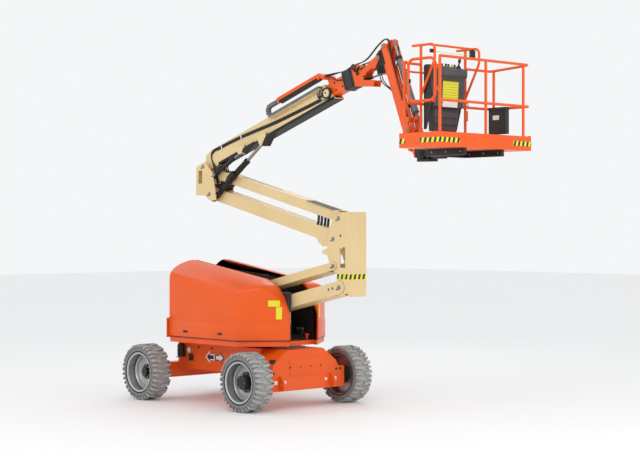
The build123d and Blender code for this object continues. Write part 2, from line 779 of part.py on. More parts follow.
with BuildPart() as ground_control_box:
    box_length, box_depth, box_height = CONTROL_BOX
    box_y = -CHANNEL_HALF_WIDTH + 6 + box_depth / 2
    with BuildSketch(Plane.XY.offset(CONTROL_BOX_Z - box_height / 2)):
        with Locations((CONTROL_BOX_X, box_y)):
            Rectangle(box_length, box_depth)
    extrude(amount=box_height)
    # stem down to the turntable plate
    with BuildSketch(Plane.XY.offset(PLATE_TOP)):
        with Locations((CONTROL_BOX_X - box_length / 4 - 30, -CHANNEL_HALF_WIDTH + 12)):
            Rectangle(50, 12)
    extrude(amount=CONTROL_BOX_Z - box_height / 2 - PLATE_TOP + 20)
save(ground_control_box, "ground_control_box")

# ================================================================ tower linkage
LOWER_ARM_FRONT = along(LOWER_ARM_REAR, TOWER_ANGLE, TOWER_LENGTH)
LOWER_LINK_FRONT = along(LOWER_LINK_REAR, TOWER_ANGLE, TOWER_LENGTH)
UPPER_ARM_REAR = along(UPPER_ARM_FRONT, UPPER_ANGLE, -TOWER_LENGTH)
UPPER_LINK_REAR = along(UPPER_LINK_FRONT, UPPER_ANGLE, -TOWER_LENGTH)
LOWER_LANE = (-LOWER_HALF_WIDTH, LOWER_HALF_WIDTH)
BORE_RADIUS = PIN_RADIUS + PIN_CLEARANCE


def link_side(start, angle, length, depth, y):
    """Round-ended side of a link, bored for the pin at each end."""
    with BuildSketch(side_plane(start, angle, y)) as face:
        with Locations((length / 2, 0)):
            SlotCenterToCenter(length, depth)
        with Locations((0, 0), (length, 0)):
            Circle(BORE_RADIUS, mode=Mode.SUBTRACT)
    return face.sketch


def bar_face(start, angle, y, centre, size):
    """Rectangle on a side-view plane, centred at (distance, rise) along an angle."""
    with BuildSketch(side_plane(start, angle, y)) as face:
        with Locations(centre):
            Rectangle(*size)
    return face.sketch


# name, rear pin, angle, depth, lane
TOWER_LINKS = [
    ("lower_arm", LOWER_ARM_REAR, TOWER_ANGLE, LOWER_ARM_DEPTH, LOWER_LANE),
    ("lower_link", LOWER_LINK_REAR, TOWER_ANGLE, LOWER_LINK_DEPTH, LOWER_LANE),
    ("upper_arm", UPPER_ARM_REAR, UPPER_ANGLE, UPPER_ARM_DEPTH, UPPER_LANE),
    ("upper_link", UPPER_LINK_REAR, UPPER_ANGLE, UPPER_LINK_DEPTH, UPPER_LANE),
]
TOWER_ROD_BRACKET = 130
HANGER_POINTS = [
    (1599, 2525),
    (1700, 2400),
    (1785, 2347),
    (1850, 2360),
    (1940, 2420),
    (2000, 2460),
]
HANGER_EYE = (1800, 2405)
for name, pin, angle, depth, lane in TOWER_LINKS:
    with BuildPart() as tower_link:
        for y_high in (lane[0] + ARM_WALL, lane[1]):
            extrude(link_side(pin, angle, TOWER_LENGTH, depth, y_high), amount=ARM_WALL)
        for edge in (-1, 1):
            plate_centre = (TOWER_LENGTH / 2, edge * (depth - ARM_WALL) / 2)
            plate_size = (TOWER_LENGTH - 2 * FORK_LENGTH, ARM_WALL)
            extrude(
                bar_face(pin, angle, lane[1], plate_centre, plate_size),
                amount=lane[1] - lane[0],
            )
        if name == "lower_link":
            # bracket over the eye of the tower cylinder's rod
            for y_high, low, wall in ((lane[0], 0, 10), (-255, -50, 10)):
                extrude(
                    bar_face(
                        pin,
                        angle,
                        y_high,
                        (TOWER_CYLINDER_REACH, (low + 115) / 2),
                        (TOWER_ROD_BRACKET, 115 - low),
                    ),
                    amount=wall,
                )
            extrude(
                bar_face(pin, angle, lane[0], (TOWER_CYLINDER_REACH, 110), (TOWER_ROD_BRACKET, 10)),
                amount=lane[0] + 265,
            )
        if name == "upper_link":
            # hanger plates below the front of the link
            for y_high in (lane[0] + ARM_WALL, lane[1]):
                extrude(side_face(HANGER_POINTS, y_high), amount=ARM_WALL)
                extrude(disc(HANGER_EYE, y_high, 14), amount=ARM_WALL, mode=Mode.SUBTRACT)
    save(tower_link, name)

with BuildPart() as mid_upright:
    # side plates with the latch hook at the rear
    upright_points = [
        (UPRIGHT_FRONT_X, UPRIGHT_TOP),
        (2260, UPRIGHT_TOP),
        (2060, 2740),
        (2017, 2581),
        (1960, 2400),
        (1957, 2320),
        (1900, 2310),
        (1846, 2274),
        (1860, 2250),
        (1955, 2230),
        (2010, 2120),
        (2045, 2025),
        (2110, 1990),
        (2165, 1960),
        (2157, UPRIGHT_BOTTOM),
        (2300, UPRIGHT_BOTTOM),
        (2320, UPRIGHT_BOTTOM + 40),
        (2380, UPRIGHT_BOTTOM + 40),
        (2400, UPRIGHT_BOTTOM),
        (UPRIGHT_FRONT_X, UPRIGHT_BOTTOM),
    ]
    slot_low = (2273, 2053)
    slot_length = 287
    slot_width = 108
    lift_hole = (2227, 2501)
    for y_high in (-UPRIGHT_HALF_WIDTH + UPRIGHT_PLATE, UPRIGHT_HALF_WIDTH):
        extrude(side_face(upright_points, y_high), amount=UPRIGHT_PLATE)
        slot = bar_face(slot_low, 90, y_high, (slot_length / 2, 0), (slot_length, slot_width))
        extrude(slot, amount=UPRIGHT_PLATE, mode=Mode.SUBTRACT)
        extrude(disc(lift_hole, y_high, 20), amount=UPRIGHT_PLATE, mode=Mode.SUBTRACT)
    # front plate
    with BuildSketch(Plane.XY.offset(UPRIGHT_BOTTOM)):
        with Locations((UPRIGHT_FRONT_X - UPRIGHT_PLATE / 2, 0)):
            Rectangle(UPRIGHT_PLATE, 2 * UPRIGHT_HALF_WIDTH)
    extrude(amount=UPRIGHT_TOP - UPRIGHT_BOTTOM)
    # pins of the four links
    lower_pin_half = LOWER_HALF_WIDTH + 3
    upper_pin_half = UPRIGHT_HALF_WIDTH - UPRIGHT_PLATE / 2
    for pin_centre, half in (
        (LOWER_ARM_FRONT, lower_pin_half),
        (LOWER_LINK_FRONT, lower_pin_half),
        (UPPER_ARM_FRONT, upper_pin_half),
        (UPPER_LINK_FRONT, upper_pin_half),
    ):
        extrude(disc(pin_centre, half, PIN_RADIUS), amount=2 * half)
save(mid_upright, "mid_upright")

with BuildPart() as upper_upright:
    near_points = [
        (UPPER_UPRIGHT_REAR_X, 3562),
        (-751, 3633),
        (-565, 3463),
        (-483, 3132),
        (-483, 3038),
        (-620, 3034),
        (-734, 3113),
        (UPPER_UPRIGHT_REAR_X, 3122),
    ]
    far_points = [
        (UPPER_UPRIGHT_REAR_X, 3562),
        (-751, 3633),
        (-565, 3490),
        (-470, 3440),
        (-450, 3132),
        (-483, 3038),
        (-620, 3034),
        (-734, 3113),
        (UPPER_UPRIGHT_REAR_X, 3122),
    ]
    near_y, far_y = UPPER_UPRIGHT_LANE
    extrude(side_face(near_points, near_y + UPRIGHT_PLATE), amount=UPRIGHT_PLATE)
    extrude(side_face(far_points, far_y), amount=UPRIGHT_PLATE)
    # window beside the rear edge
    window = bar_face((-856, 3401), 0, near_y + UPRIGHT_PLATE, (0, 0), (94, 198))
    extrude(window, amount=UPRIGHT_PLATE, mode=Mode.SUBTRACT)
    # rear plate
    rear_plate = bar_face(
        (UPPER_UPRIGHT_REAR_X, 3122), 90, far_y, (220, -UPRIGHT_PLATE / 2), (440, UPRIGHT_PLATE)
    )
    extrude(rear_plate, amount=far_y - near_y)
    # bosses and pin of the boom
    boss_inner = BOOM_HALF_WIDTH + 5
    extrude(
        disc(BOOM_PIVOT, -boss_inner, BOOM_BOSS_RADIUS),
        amount=-boss_inner - near_y,
    )
    extrude(disc(BOOM_PIVOT, far_y, BOOM_BOSS_RADIUS), amount=far_y - boss_inner)
    extrude(disc(BOOM_PIVOT, far_y, BOOM_PIN_RADIUS), amount=far_y - near_y)
    # pins of the upper links, carried by the far plate
    for pin_centre in (UPPER_ARM_REAR, UPPER_LINK_REAR):
        extrude(disc(pin_centre, far_y, PIN_RADIUS), amount=far_y - UPPER_LANE[0] + 4)
    # pins under the lift and level cylinders, carried by the near plate
    for pin_centre in (LIFT_BASE, LEVEL_BASE):
        extrude(disc(pin_centre, BRACKET_LANE[1], PIN_RADIUS), amount=BRACKET_LANE[1] - near_y)
save(upper_upright, "upper_upright")

# ================================================================ cylinders
ROD_GAP = 0.3
BARREL_FLOOR = 12
NECK_OVERLAP = 10
NECK_LENGTH = 45
# name, base, rod eye, lane middle, barrel radius and length, rod radius and length,
# base eye radius, base bore, rod eye radius
CYLINDERS = [
    ("tower", TOWER_CYLINDER_BASE, along(LOWER_LINK_REAR, TOWER_ANGLE, TOWER_CYLINDER_REACH),
     TOWER_CYLINDER_LANE_Y, (TOWER_BARREL_RADIUS, TOWER_BARREL_LENGTH),
     (TOWER_ROD_RADIUS, TOWER_ROD_LENGTH), 32, JIB_PIN_RADIUS, 35),
    ("lift", LIFT_BASE, LIFT_EYE, CYLINDER_LANE_Y, (LIFT_BARREL_RADIUS, LIFT_BARREL_LENGTH),
     (LIFT_ROD_RADIUS, LIFT_ROD_LENGTH), 42, PIN_RADIUS, 34),
    ("level", LEVEL_BASE, LEVEL_EYE, CYLINDER_LANE_Y, (LEVEL_BARREL_RADIUS, LEVEL_BARREL_LENGTH),
     (LEVEL_ROD_RADIUS, LEVEL_ROD_LENGTH), 38, PIN_RADIUS, 26),
    ("slave", SLAVE_BASE, SLAVE_EYE, 0, (SLAVE_BARREL_RADIUS, SLAVE_BARREL_LENGTH),
     (SLAVE_ROD_RADIUS, SLAVE_ROD_LENGTH), 28, JIB_PIN_RADIUS, 28),
    ("jib", along(JIB_ARM_TOP, JIB_ANGLE, *JIB_CYLINDER_BASE), JIB_CYLINDER_EYE, 0,
     (JIB_BARREL_RADIUS, JIB_BARREL_LENGTH), (JIB_ROD_RADIUS, JIB_ROD_LENGTH),
     28, JIB_PIN_RADIUS, JIB_ROD_EYE_RADIUS),
]


def axis_plane(base, angle, lane, distance):
    """Plane square to a cylinder at a distance from its base."""
    x, z = along(base, angle, distance)
    return Plane(origin=(x, lane, z), z_dir=(cos(radians(angle)), 0, sin(radians(angle))))


for name, base, eye, lane, barrel_size, rod_size, base_eye, base_bore, rod_eye in CYLINDERS:
    reach, tilt = span(base, eye)
    radius, length = barrel_size
    rod_radius, rod_length = rod_size
    neck = base_eye + NECK_LENGTH
    rod_start = reach - rod_length
    with BuildPart() as barrel:
        extrude(disc(base, lane + EYE_WIDTH / 2, base_eye), amount=EYE_WIDTH)
        with BuildSketch(axis_plane(base, tilt, lane, 0)):
            Circle(EYE_WIDTH / 2)
        extrude(amount=neck + NECK_OVERLAP)
        with BuildSketch(axis_plane(base, tilt, lane, neck)):
            Circle(radius)
        extrude(amount=length - neck)
        with BuildSketch(axis_plane(base, tilt, lane, neck + BARREL_FLOOR)):
            Circle(rod_radius + ROD_GAP)
        extrude(amount=length, mode=Mode.SUBTRACT)
        extrude(
            disc(base, lane + EYE_WIDTH / 2, base_bore + PIN_CLEARANCE),
            amount=EYE_WIDTH,
            mode=Mode.SUBTRACT,
        )
    save(barrel, f"{name}_barrel")
    with BuildPart() as rod:
        with BuildSketch(axis_plane(base, tilt, lane, rod_start)):
            Circle(rod_radius)
        extrude(amount=rod_length)
        extrude(disc(eye, lane + EYE_WIDTH / 2, rod_eye), amount=EYE_WIDTH)
        extrude(
            disc(eye, lane + EYE_WIDTH / 2, rod_radius / 2 + 2),
            amount=EYE_WIDTH,
            mode=Mode.SUBTRACT,
        )
    save(rod, f"{name}_rod")

# ================================================================ boom
def boom_face(points, y):
    """Face at y with straight edges through points given along the boom."""
    return side_face([boom_point(*point) for point in points], y)


def boom_block(lane, low, high):
    """Box between two boom-frame corners across a lane."""
    corners = [low, (high[0], low[1]), high, (low[0], high[1])]
    return boom_face(corners, lane[1]), lane[1] - lane[0]


tunnel_half = BOOM_HALF_WIDTH - BOOM_WALL
tunnel_low = BOOM_BOTTOM + BOOM_WALL
tunnel_high = BOOM_TOP - BOOM_WALL
fly_low = tunnel_low + FLY_GAP
fly_high = tunnel_high - FLY_GAP
FRONT_PAD = 2700
BRACKET_TOP = -8
BRACKET_WEB = 12
# first and last distance at the top, start of the web, then the outline below the boom
BRACKETS = [
    (800, 985, 930, [(960, -90), (900, -112), (845, -112), (812, -85)]),
    (1300, 1500, 1300, [(1480, -100), (1415, -165), (1330, -165), (1315, -120)]),
]

with BuildPart() as main_boom:
    boom_points = [
        (141, BOOM_TOP),
        (20, 182),
        (-50, 45),
        (-50, -25),
        (-20, BOOM_BOTTOM),
        (BOOM_LIP, BOOM_BOTTOM),
        (BOOM_END, BOOM_TOP),
    ]
    extrude(boom_face(boom_points, BOOM_HALF_WIDTH), amount=2 * BOOM_HALF_WIDTH)
    tunnel, depth = boom_block((-tunnel_half, tunnel_half), (90, tunnel_low), (3100, tunnel_high))
    extrude(tunnel, amount=depth, mode=Mode.SUBTRACT)
    # wear pads round the fly section
    pads = (
        ((FLY_HALF_WIDTH + PAD_GAP, tunnel_half), tunnel_low, tunnel_high),
        ((-tunnel_half, -FLY_HALF_WIDTH - PAD_GAP), tunnel_low, tunnel_high),
        ((-tunnel_half, tunnel_half), tunnel_low, fly_low - PAD_GAP),
        ((-tunnel_half, tunnel_half), fly_high + PAD_GAP, tunnel_high),
    )
    for lane, low, high in pads:
        pad, depth = boom_block(lane, (FRONT_PAD, low), (FRONT_PAD + PAD_LENGTH, high))
        extrude(pad, amount=depth)
    # brackets of the level and lift cylinders
    for start, end, web_start, outline in BRACKETS:
        for y_high, top in (
            (BRACKET_LANE[0] + BRACKET_PLATE, BRACKET_TOP),
            (BRACKET_LANE[1], tunnel_low),
        ):
            extrude(boom_face([(start, top), (end, top), *outline], y_high), amount=BRACKET_PLATE)
        web, depth = boom_block(
            (BRACKET_LANE[0], -tunnel_half),
            (web_start, BRACKET_TOP - BRACKET_WEB),
            (end, BRACKET_TOP),
        )
        extrude(web, amount=depth)
    # shelf under the cable carrier
    shelf_top = CARRIER_CENTRE[1] - CARRIER_OUTER - PAD_GAP
    shelf, depth = boom_block(
        (CARRIER_LANE[0] - SHELF_MARGIN, 2 - BOOM_HALF_WIDTH),
        (SHELF_START, shelf_top - SHELF_THICKNESS),
        (SHELF_END, shelf_top),
    )
    extrude(shelf, amount=depth)
    extrude(
        disc(BOOM_PIVOT, BOOM_HALF_WIDTH, BOOM_PIN_RADIUS + PIN_CLEARANCE),
        amount=2 * BOOM_HALF_WIDTH,
        mode=Mode.SUBTRACT,
    )
save(main_boom, "main_boom")

NOSE_START = 2907
NOSE_POINTS = [
    (NOSE_START, -6),
    (NOSE_START, 290),
    (3039, 202),
    (3205, 196),
    (3399, 230),
    (3546, 229),
    (3554, 110),
    (3810, 179),
    (3912, 203),
    (3950, 162),
    (3930, 123),
    (3854, 61),
    (3681, 74),
    (3565, -21),
    (3745, -92),
    (3770, -102),
    (3718, -180),
    (3525, -94),
    (3300, -6),
]
NOSE_EYE_RADIUS = 42
BRACKET_POINTS = [
    (TROUGH_END - 4, TROUGH_HIGH),
    (TROUGH_END + 10, TROUGH_HIGH),
    (2925, 305),
    (2925, 250),
    (NOSE_START, 250),
    (TROUGH_END - 4, 330),
]
nose_wall = 10
with BuildPart() as fly_boom:
    fly_lane = (-FLY_HALF_WIDTH, FLY_HALF_WIDTH)
    tube, depth = boom_block(fly_lane, (FLY_REAR, fly_low), (NOSE_START + 43, fly_high))
    extrude(tube, amount=depth)
    inner_lane = (-FLY_HALF_WIDTH + BOOM_WALL, FLY_HALF_WIDTH - BOOM_WALL)
    hollow, depth = boom_block(
        inner_lane,
        (FLY_REAR - 10, fly_low + BOOM_WALL),
        (NOSE_START + 60, fly_high - BOOM_WALL),
    )
    extrude(hollow, amount=depth, mode=Mode.SUBTRACT)
    # wear pads at the rear of the fly section
    rear_pads = (
        ((FLY_HALF_WIDTH, tunnel_half - PAD_GAP), tunnel_low + PAD_GAP, tunnel_high - PAD_GAP),
        ((PAD_GAP - tunnel_half, -FLY_HALF_WIDTH), tunnel_low + PAD_GAP, tunnel_high - PAD_GAP),
        (fly_lane, tunnel_low + PAD_GAP, fly_low),
        (fly_lane, fly_high, tunnel_high - PAD_GAP),
    )
    for lane, low, high in rear_pads:
        pad, depth = boom_block(lane, (FLY_REAR, low), (FLY_REAR + PAD_LENGTH, high))
        extrude(pad, amount=depth)
    # side plates of the nose
    for y_high in (-NOSE_HALF_WIDTH + NOSE_PLATE, NOSE_HALF_WIDTH):
        extrude(boom_face(NOSE_POINTS, y_high), amount=NOSE_PLATE)
        extrude(disc(JIB_BASE_PIVOT, y_high, NOSE_EYE_RADIUS), amount=NOSE_PLATE)
    # floor and roof between them
    floor_points = [
        (2940, -6),
        (3300, -6),
        (3525, -94),
        (3718, -180),
        (3722, -180 + nose_wall),
        (3525, -94 + nose_wall),
        (3300, -6 + nose_wall),
        (2940, -6 + nose_wall),
    ]
    extrude(boom_face(floor_points, NOSE_HALF_WIDTH), amount=2 * NOSE_HALF_WIDTH)
    roof, depth = boom_block(
        (-NOSE_HALF_WIDTH, NOSE_HALF_WIDTH), (2940, fly_high - nose_wall), (3205, fly_high)
    )
    extrude(roof, amount=depth)
    # bracket that carries the trough
    bracket_lane = (TROUGH_LANE[0], NOSE_HALF_WIDTH)
    extrude(boom_face(BRACKET_POINTS, bracket_lane[1]), amount=bracket_lane[1] - bracket_lane[0])
    # trough over the cable carrier, open below
    trough, depth = boom_block(TROUGH_LANE, (TROUGH_START, TROUGH_LOW), (TROUGH_END, TROUGH_HIGH))
    extrude(trough, amount=depth)
    trough_inner = (TROUGH_LANE[0] + TROUGH_WALL, TROUGH_LANE[1] - TROUGH_WALL)
    channel, depth = boom_block(
        trough_inner,
        (TROUGH_START - 10, TROUGH_LOW - 10),
        (TROUGH_END - 2, TROUGH_HIGH - TROUGH_WALL),
    )
    extrude(channel, amount=depth, mode=Mode.SUBTRACT)
    # pins of the jib base and of the slave cylinder
    extrude(disc(JIB_BASE_PIVOT, NOSE_HALF_WIDTH, PIN_RADIUS), amount=2 * NOSE_HALF_WIDTH)
    extrude(disc(SLAVE_BASE, NOSE_HALF_WIDTH, JIB_PIN_RADIUS), amount=2 * NOSE_HALF_WIDTH)
save(fly_boom, "fly_boom")

with BuildPart() as cable_carrier:
    carrier_plane = side_plane(boom_point(*CARRIER_CENTRE), BOOM_ANGLE, CARRIER_LANE[1])
    carrier_inner = CARRIER_OUTER - CARRIER_STRAND
    with BuildSketch(carrier_plane):
        Circle(CARRIER_OUTER)
        Circle(carrier_inner, mode=Mode.SUBTRACT)
        with Locations((CARRIER_OUTER / 2 + 1, 0)):
            Rectangle(CARRIER_OUTER + 2, 2 * CARRIER_OUTER + 2, mode=Mode.SUBTRACT)
    extrude(amount=CARRIER_LANE[1] - CARRIER_LANE[0])
    strand_middle = (CARRIER_OUTER + carrier_inner) / 2
    for side, strand_end in ((-1, CARRIER_LOWER_END), (1, CARRIER_UPPER_END)):
        strand_length = strand_end - CARRIER_CENTRE[0]
        with BuildSketch(carrier_plane):
            with Locations((strand_length / 2, side * strand_middle)):
                Rectangle(strand_length + 2, CARRIER_STRAND)
        extrude(amount=CARRIER_LANE[1] - CARRIER_LANE[0])
save(cable_carrier, "cable_carrier")

# ================================================================ jib
with BuildPart() as jib_base:
    base_points = [
        (2852, 4987),
        (2978, 5080),
        (3040, 5145),
        (3110, 5196),
        (3160, 5190),
        (3165, 5130),
        (3118, 5060),
        (3112, 4800),
        (3074, 4743),
        (3020, 4725),
        (2985, 4722),
        (2965, 4800),
        (2924, 4860),
        (2850, 4925),
    ]
    for y_high in (-JIB_BASE_HALF_WIDTH + JIB_BASE_PLATE, JIB_BASE_HALF_WIDTH):
        extrude(side_face(base_points, y_high), amount=JIB_BASE_PLATE)
        extrude(disc(JIB_BASE_PIVOT, y_high, NOSE_EYE_RADIUS), amount=JIB_BASE_PLATE)
        for bore_centre, bore in (
            (JIB_BASE_PIVOT, BORE_RADIUS),
            (JIB_CYLINDER_EYE, JIB_ROD_RADIUS / 2 + 2),
            (SLAVE_EYE, SLAVE_ROD_RADIUS / 2 + 2),
        ):
            extrude(disc(bore_centre, y_high, bore), amount=JIB_BASE_PLATE, mode=Mode.SUBTRACT)
    # web between the plates
    web_points = [(2930, 4880), (2960, 4850), (3040, 4850), (3040, 5070), (2985, 5070), (2930, 5030)]
    extrude(side_face(web_points, JIB_BASE_HALF_WIDTH), amount=2 * JIB_BASE_HALF_WIDTH)
    # stub pins of the arms and of the links, outside the plates
    stub_inner = JIB_BASE_HALF_WIDTH - JIB_BASE_PLATE
    for pin_centre, half in (
        (JIB_ARM_TOP, JIB_ARM_LANE[1] + 5),
        (JIB_LINK_TOP, JIB_LINK_LANE[1] + 4),
    ):
        for y_high in (-stub_inner, half):
            extrude(disc(pin_centre, y_high, PIN_RADIUS), amount=half - stub_inner)
save(jib_base, "jib_base")


def jib_bar(start, depth, y):
    """Round-ended jib bar, bored for the pin at each end."""
    return link_side(start, JIB_ANGLE, JIB_LENGTH, depth, y)


with BuildPart() as jib_arms:
    low, high = JIB_ARM_LANE
    for y_high in (-low, high):
        extrude(jib_bar(JIB_ARM_TOP, JIB_ARM_DEPTH, y_high), amount=high - low)
    # cross tube and lugs for the jib cylinder
    reach_along, reach_out = JIB_CYLINDER_BASE
    tube_centre = along(JIB_ARM_TOP, JIB_ANGLE, reach_along, CROSS_TUBE_RISE)
    extrude(disc(tube_centre, high, CROSS_TUBE_RADIUS), amount=2 * high)
    lug_inner = EYE_WIDTH / 2 + 2
    for y_high in (-lug_inner, lug_inner + 15):
        lug = bar_face(
            JIB_ARM_TOP,
            JIB_ANGLE,
            y_high,
            (reach_along, (CROSS_TUBE_RISE + reach_out) / 2),
            (56, reach_out - CROSS_TUBE_RISE),
        )
        extrude(lug, amount=15)
        extrude(disc(along(JIB_ARM_TOP, JIB_ANGLE, *JIB_CYLINDER_BASE), y_high, 28), amount=15)
    extrude(
        disc(along(JIB_ARM_TOP, JIB_ANGLE, *JIB_CYLINDER_BASE), lug_inner + 2, JIB_PIN_RADIUS),
        amount=2 * (lug_inner + 2),
    )
save(jib_arms, "jib_arms")

with BuildPart() as jib_links:
    low, high = JIB_LINK_LANE
    for y_high in (-low, high):
        extrude(jib_bar(JIB_LINK_TOP, JIB_LINK_DEPTH, y_high), amount=high - low)
save(jib_links, "jib_links")

HEAD_TOP_PIN = along(JIB_ARM_TOP, JIB_ANGLE, JIB_LENGTH)
HEAD_LOW_PIN = along(JIB_LINK_TOP, JIB_ANGLE, JIB_LENGTH)
flange_x = ROTATOR_X - ROTATOR_RADIUS - FLANGE_GAP
with BuildPart() as platform_head:
    head_points = [
        (3455, 3945),
        (3475, 3985),
        (3525, 3985),
        (flange_x, 3850),
        (flange_x, 3560),
        (3545, 3635),
        (3475, 3655),
        (3470, 3700),
    ]
    for y_high in (-HEAD_HALF_WIDTH + HEAD_PLATE, HEAD_HALF_WIDTH):
        extrude(side_face(head_points, y_high), amount=HEAD_PLATE)
    # flange behind the rotator
    with BuildSketch(Plane.XY.offset(3560)):
        with Locations((flange_x - HEAD_FLANGE / 2, 0)):
            Rectangle(HEAD_FLANGE, 2 * HEAD_HALF_WIDTH)
    extrude(amount=290)
    for pin_centre, half in (
        (HEAD_TOP_PIN, JIB_ARM_LANE[1] + 5),
        (HEAD_LOW_PIN, JIB_LINK_LANE[1] + 4),
    ):
        extrude(disc(pin_centre, half, PIN_RADIUS), amount=2 * half)
save(platform_head, "platform_head")

with BuildPart() as rotator:
    with BuildSketch(Plane.XY.offset(ROTATOR_BOTTOM)):
        with Locations((ROTATOR_X, 0)):
            Circle(ROTATOR_RADIUS)
    extrude(amount=ROTATOR_HEIGHT)
    # mounting block against the flange
    block_x = flange_x + RIM_GAP
    with BuildSketch(Plane.XY.offset(3580)):
        with Locations(((block_x + ROTATOR_X) / 2, 0)):
            Rectangle(ROTATOR_X - block_x, 140)
    extrude(amount=240)
save(rotator, "rotator")

# ================================================================ platform
support_top = DECK_BOTTOM
ear_gap = 0.5
with BuildPart() as platform_support:
    # ears above and below the rotator
    ear_bottoms = (
        ROTATOR_BOTTOM - ear_gap - EAR_THICKNESS,
        ROTATOR_BOTTOM + ROTATOR_HEIGHT + ear_gap,
    )
    for ear_bottom in ear_bottoms:
        with BuildSketch(Plane.XY.offset(ear_bottom)):
            with Locations((ROTATOR_X, 0)):
                Circle(ROTATOR_RADIUS)
            with Locations(((ROTATOR_X + MAST_X) / 2, 0)):
                Rectangle(MAST_X - ROTATOR_X, 2 * ROTATOR_RADIUS)
        extrude(amount=EAR_THICKNESS)
    # mast plate between the ears
    with BuildSketch(Plane.XY.offset(ear_bottoms[0])):
        with Locations((MAST_X, 0)):
            Rectangle(MAST_PLATE, 200)
    extrude(amount=ear_bottoms[1] + EAR_THICKNESS - ear_bottoms[0])
    # beam, crossbar and two bearers under the deck
    support_height = support_top - SUPPORT_BOTTOM
    for centre, size in (
        (((MAST_X + CROSSBAR_X) / 2, 0), (CROSSBAR_X - MAST_X, 100)),
        ((CROSSBAR_X, 0), (80, 2 * (SUPPORT_BEAM_Y + SUPPORT_BEAM_WIDTH / 2))),
        (((CROSSBAR_X + BEARER_END_X) / 2, -SUPPORT_BEAM_Y), (BEARER_END_X - CROSSBAR_X, 60)),
        (((CROSSBAR_X + BEARER_END_X) / 2, SUPPORT_BEAM_Y), (BEARER_END_X - CROSSBAR_X, 60)),
    ):
        with BuildSketch(Plane.XY.offset(SUPPORT_BOTTOM)):
            with Locations(centre):
                Rectangle(*size)
        extrude(amount=support_height)
save(platform_support, "platform_support")

deck_centre = (DECK_BACK_X + DECK_LENGTH / 2, 0)
with BuildPart() as platform_deck:
    with BuildSketch(Plane.XY.offset(DECK_BOTTOM + DECK_SEAT)):
        with Locations(deck_centre):
            Rectangle(DECK_LENGTH, 2 * DECK_HALF_WIDTH)
    extrude(amount=TOE_BOARD_TOP - DECK_BOTTOM - DECK_SEAT)
    with BuildSketch(Plane.XY.offset(DECK_BOTTOM + DECK_THICKNESS)):
        with Locations(deck_centre):
            Rectangle(DECK_LENGTH - 2 * TOE_BOARD_WALL, 2 * (DECK_HALF_WIDTH - TOE_BOARD_WALL))
    extrude(amount=TOE_BOARD_TOP, mode=Mode.SUBTRACT)
save(platform_deck, "platform_deck")

rail_back = DECK_BACK_X + RAIL_RADIUS
rail_front = DECK_BACK_X + DECK_LENGTH - RAIL_RADIUS
rail_side = DECK_HALF_WIDTH - RAIL_RADIUS
guard_near, guard_far = GUARD_LANE
guard_front = rail_back + GUARD_REACH
guard_bar_x = guard_front - RAIL_BEND - 40
rail_foot = TOE_BOARD_TOP + RAIL_SEAT


def rail_tube(points, radius, bend):
    """Tube swept along a path with bent corners."""
    with BuildPart() as tube:
        with BuildLine() as path:
            if bend:
                FilletPolyline(*points, radius=bend)
            else:
                Polyline(*points)
        with BuildSketch(tube_end(points[0], points[1])):
            Circle(radius)
        sweep(path=path.wires()[0])
    return tube.part


# path, bend, radius
rail_paths = [
    # top rail round the far side and the front
    (
        [
            (rail_back, guard_far, BACK_RAIL_Z),
            (rail_back, rail_side, BACK_RAIL_Z),
            (rail_front, rail_side, TOP_RAIL_Z),
            (rail_front, -rail_side, TOP_RAIL_Z),
        ],
        RAIL_BEND,
        CROSS_RAIL_RADIUS,
    ),
    # top rail at the near rear corner
    (
        [
            (rail_back, guard_near, BACK_RAIL_Z),
            (rail_back, -rail_side, BACK_RAIL_Z),
            (SIDE_POST_X + 2 * RAIL_RADIUS, -rail_side, BACK_RAIL_Z),
        ],
        SHORT_BEND,
        CROSS_RAIL_RADIUS,
    ),
    # mid rail from the near rear post round to the front
    (
        [
            (SIDE_POST_X + 5, -rail_side, MID_RAIL_Z),
            (rail_back, -rail_side, MID_RAIL_Z),
            (rail_back, rail_side, MID_RAIL_Z),
            (rail_front, rail_side, MID_RAIL_Z),
            (rail_front, -rail_side, MID_RAIL_Z),
        ],
        SHORT_BEND,
        CROSS_RAIL_RADIUS,
    ),
    # bar across the guard
    (
        [(guard_bar_x, guard_near, GUARD_TOP_Z), (guard_bar_x, guard_far, GUARD_TOP_Z)],
        0,
        GUARD_BAR_RADIUS,
    ),
]
for guard_y in GUARD_LANE:
    guard_post = [(rail_back, guard_y, rail_foot), (rail_back, guard_y, GUARD_TOP_Z)]
    rail_paths.append((guard_post, 0, RAIL_RADIUS))
    guard_loop = [
        (rail_back - GUARD_TAIL, guard_y, GUARD_TOP_Z),
        (guard_front, guard_y, GUARD_TOP_Z),
        (guard_front, guard_y, GUARD_KNEE_Z),
        (rail_back, guard_y, GUARD_LOW_Z),
    ]
    rail_paths.append((guard_loop, RAIL_BEND, GUARD_RADIUS))
for post_y in FRONT_POSTS:
    front_post = [(rail_front, post_y, rail_foot), (rail_front, post_y, TOP_RAIL_Z + 2)]
    rail_paths.append((front_post, 0, RAIL_RADIUS))
for side in (-1, 1):
    side_post = [
        (SIDE_POST_X, side * rail_side, rail_foot),
        (SIDE_POST_X, side * rail_side, BACK_RAIL_Z + 2),
    ]
    rail_paths.append((side_post, 0, RAIL_RADIUS))
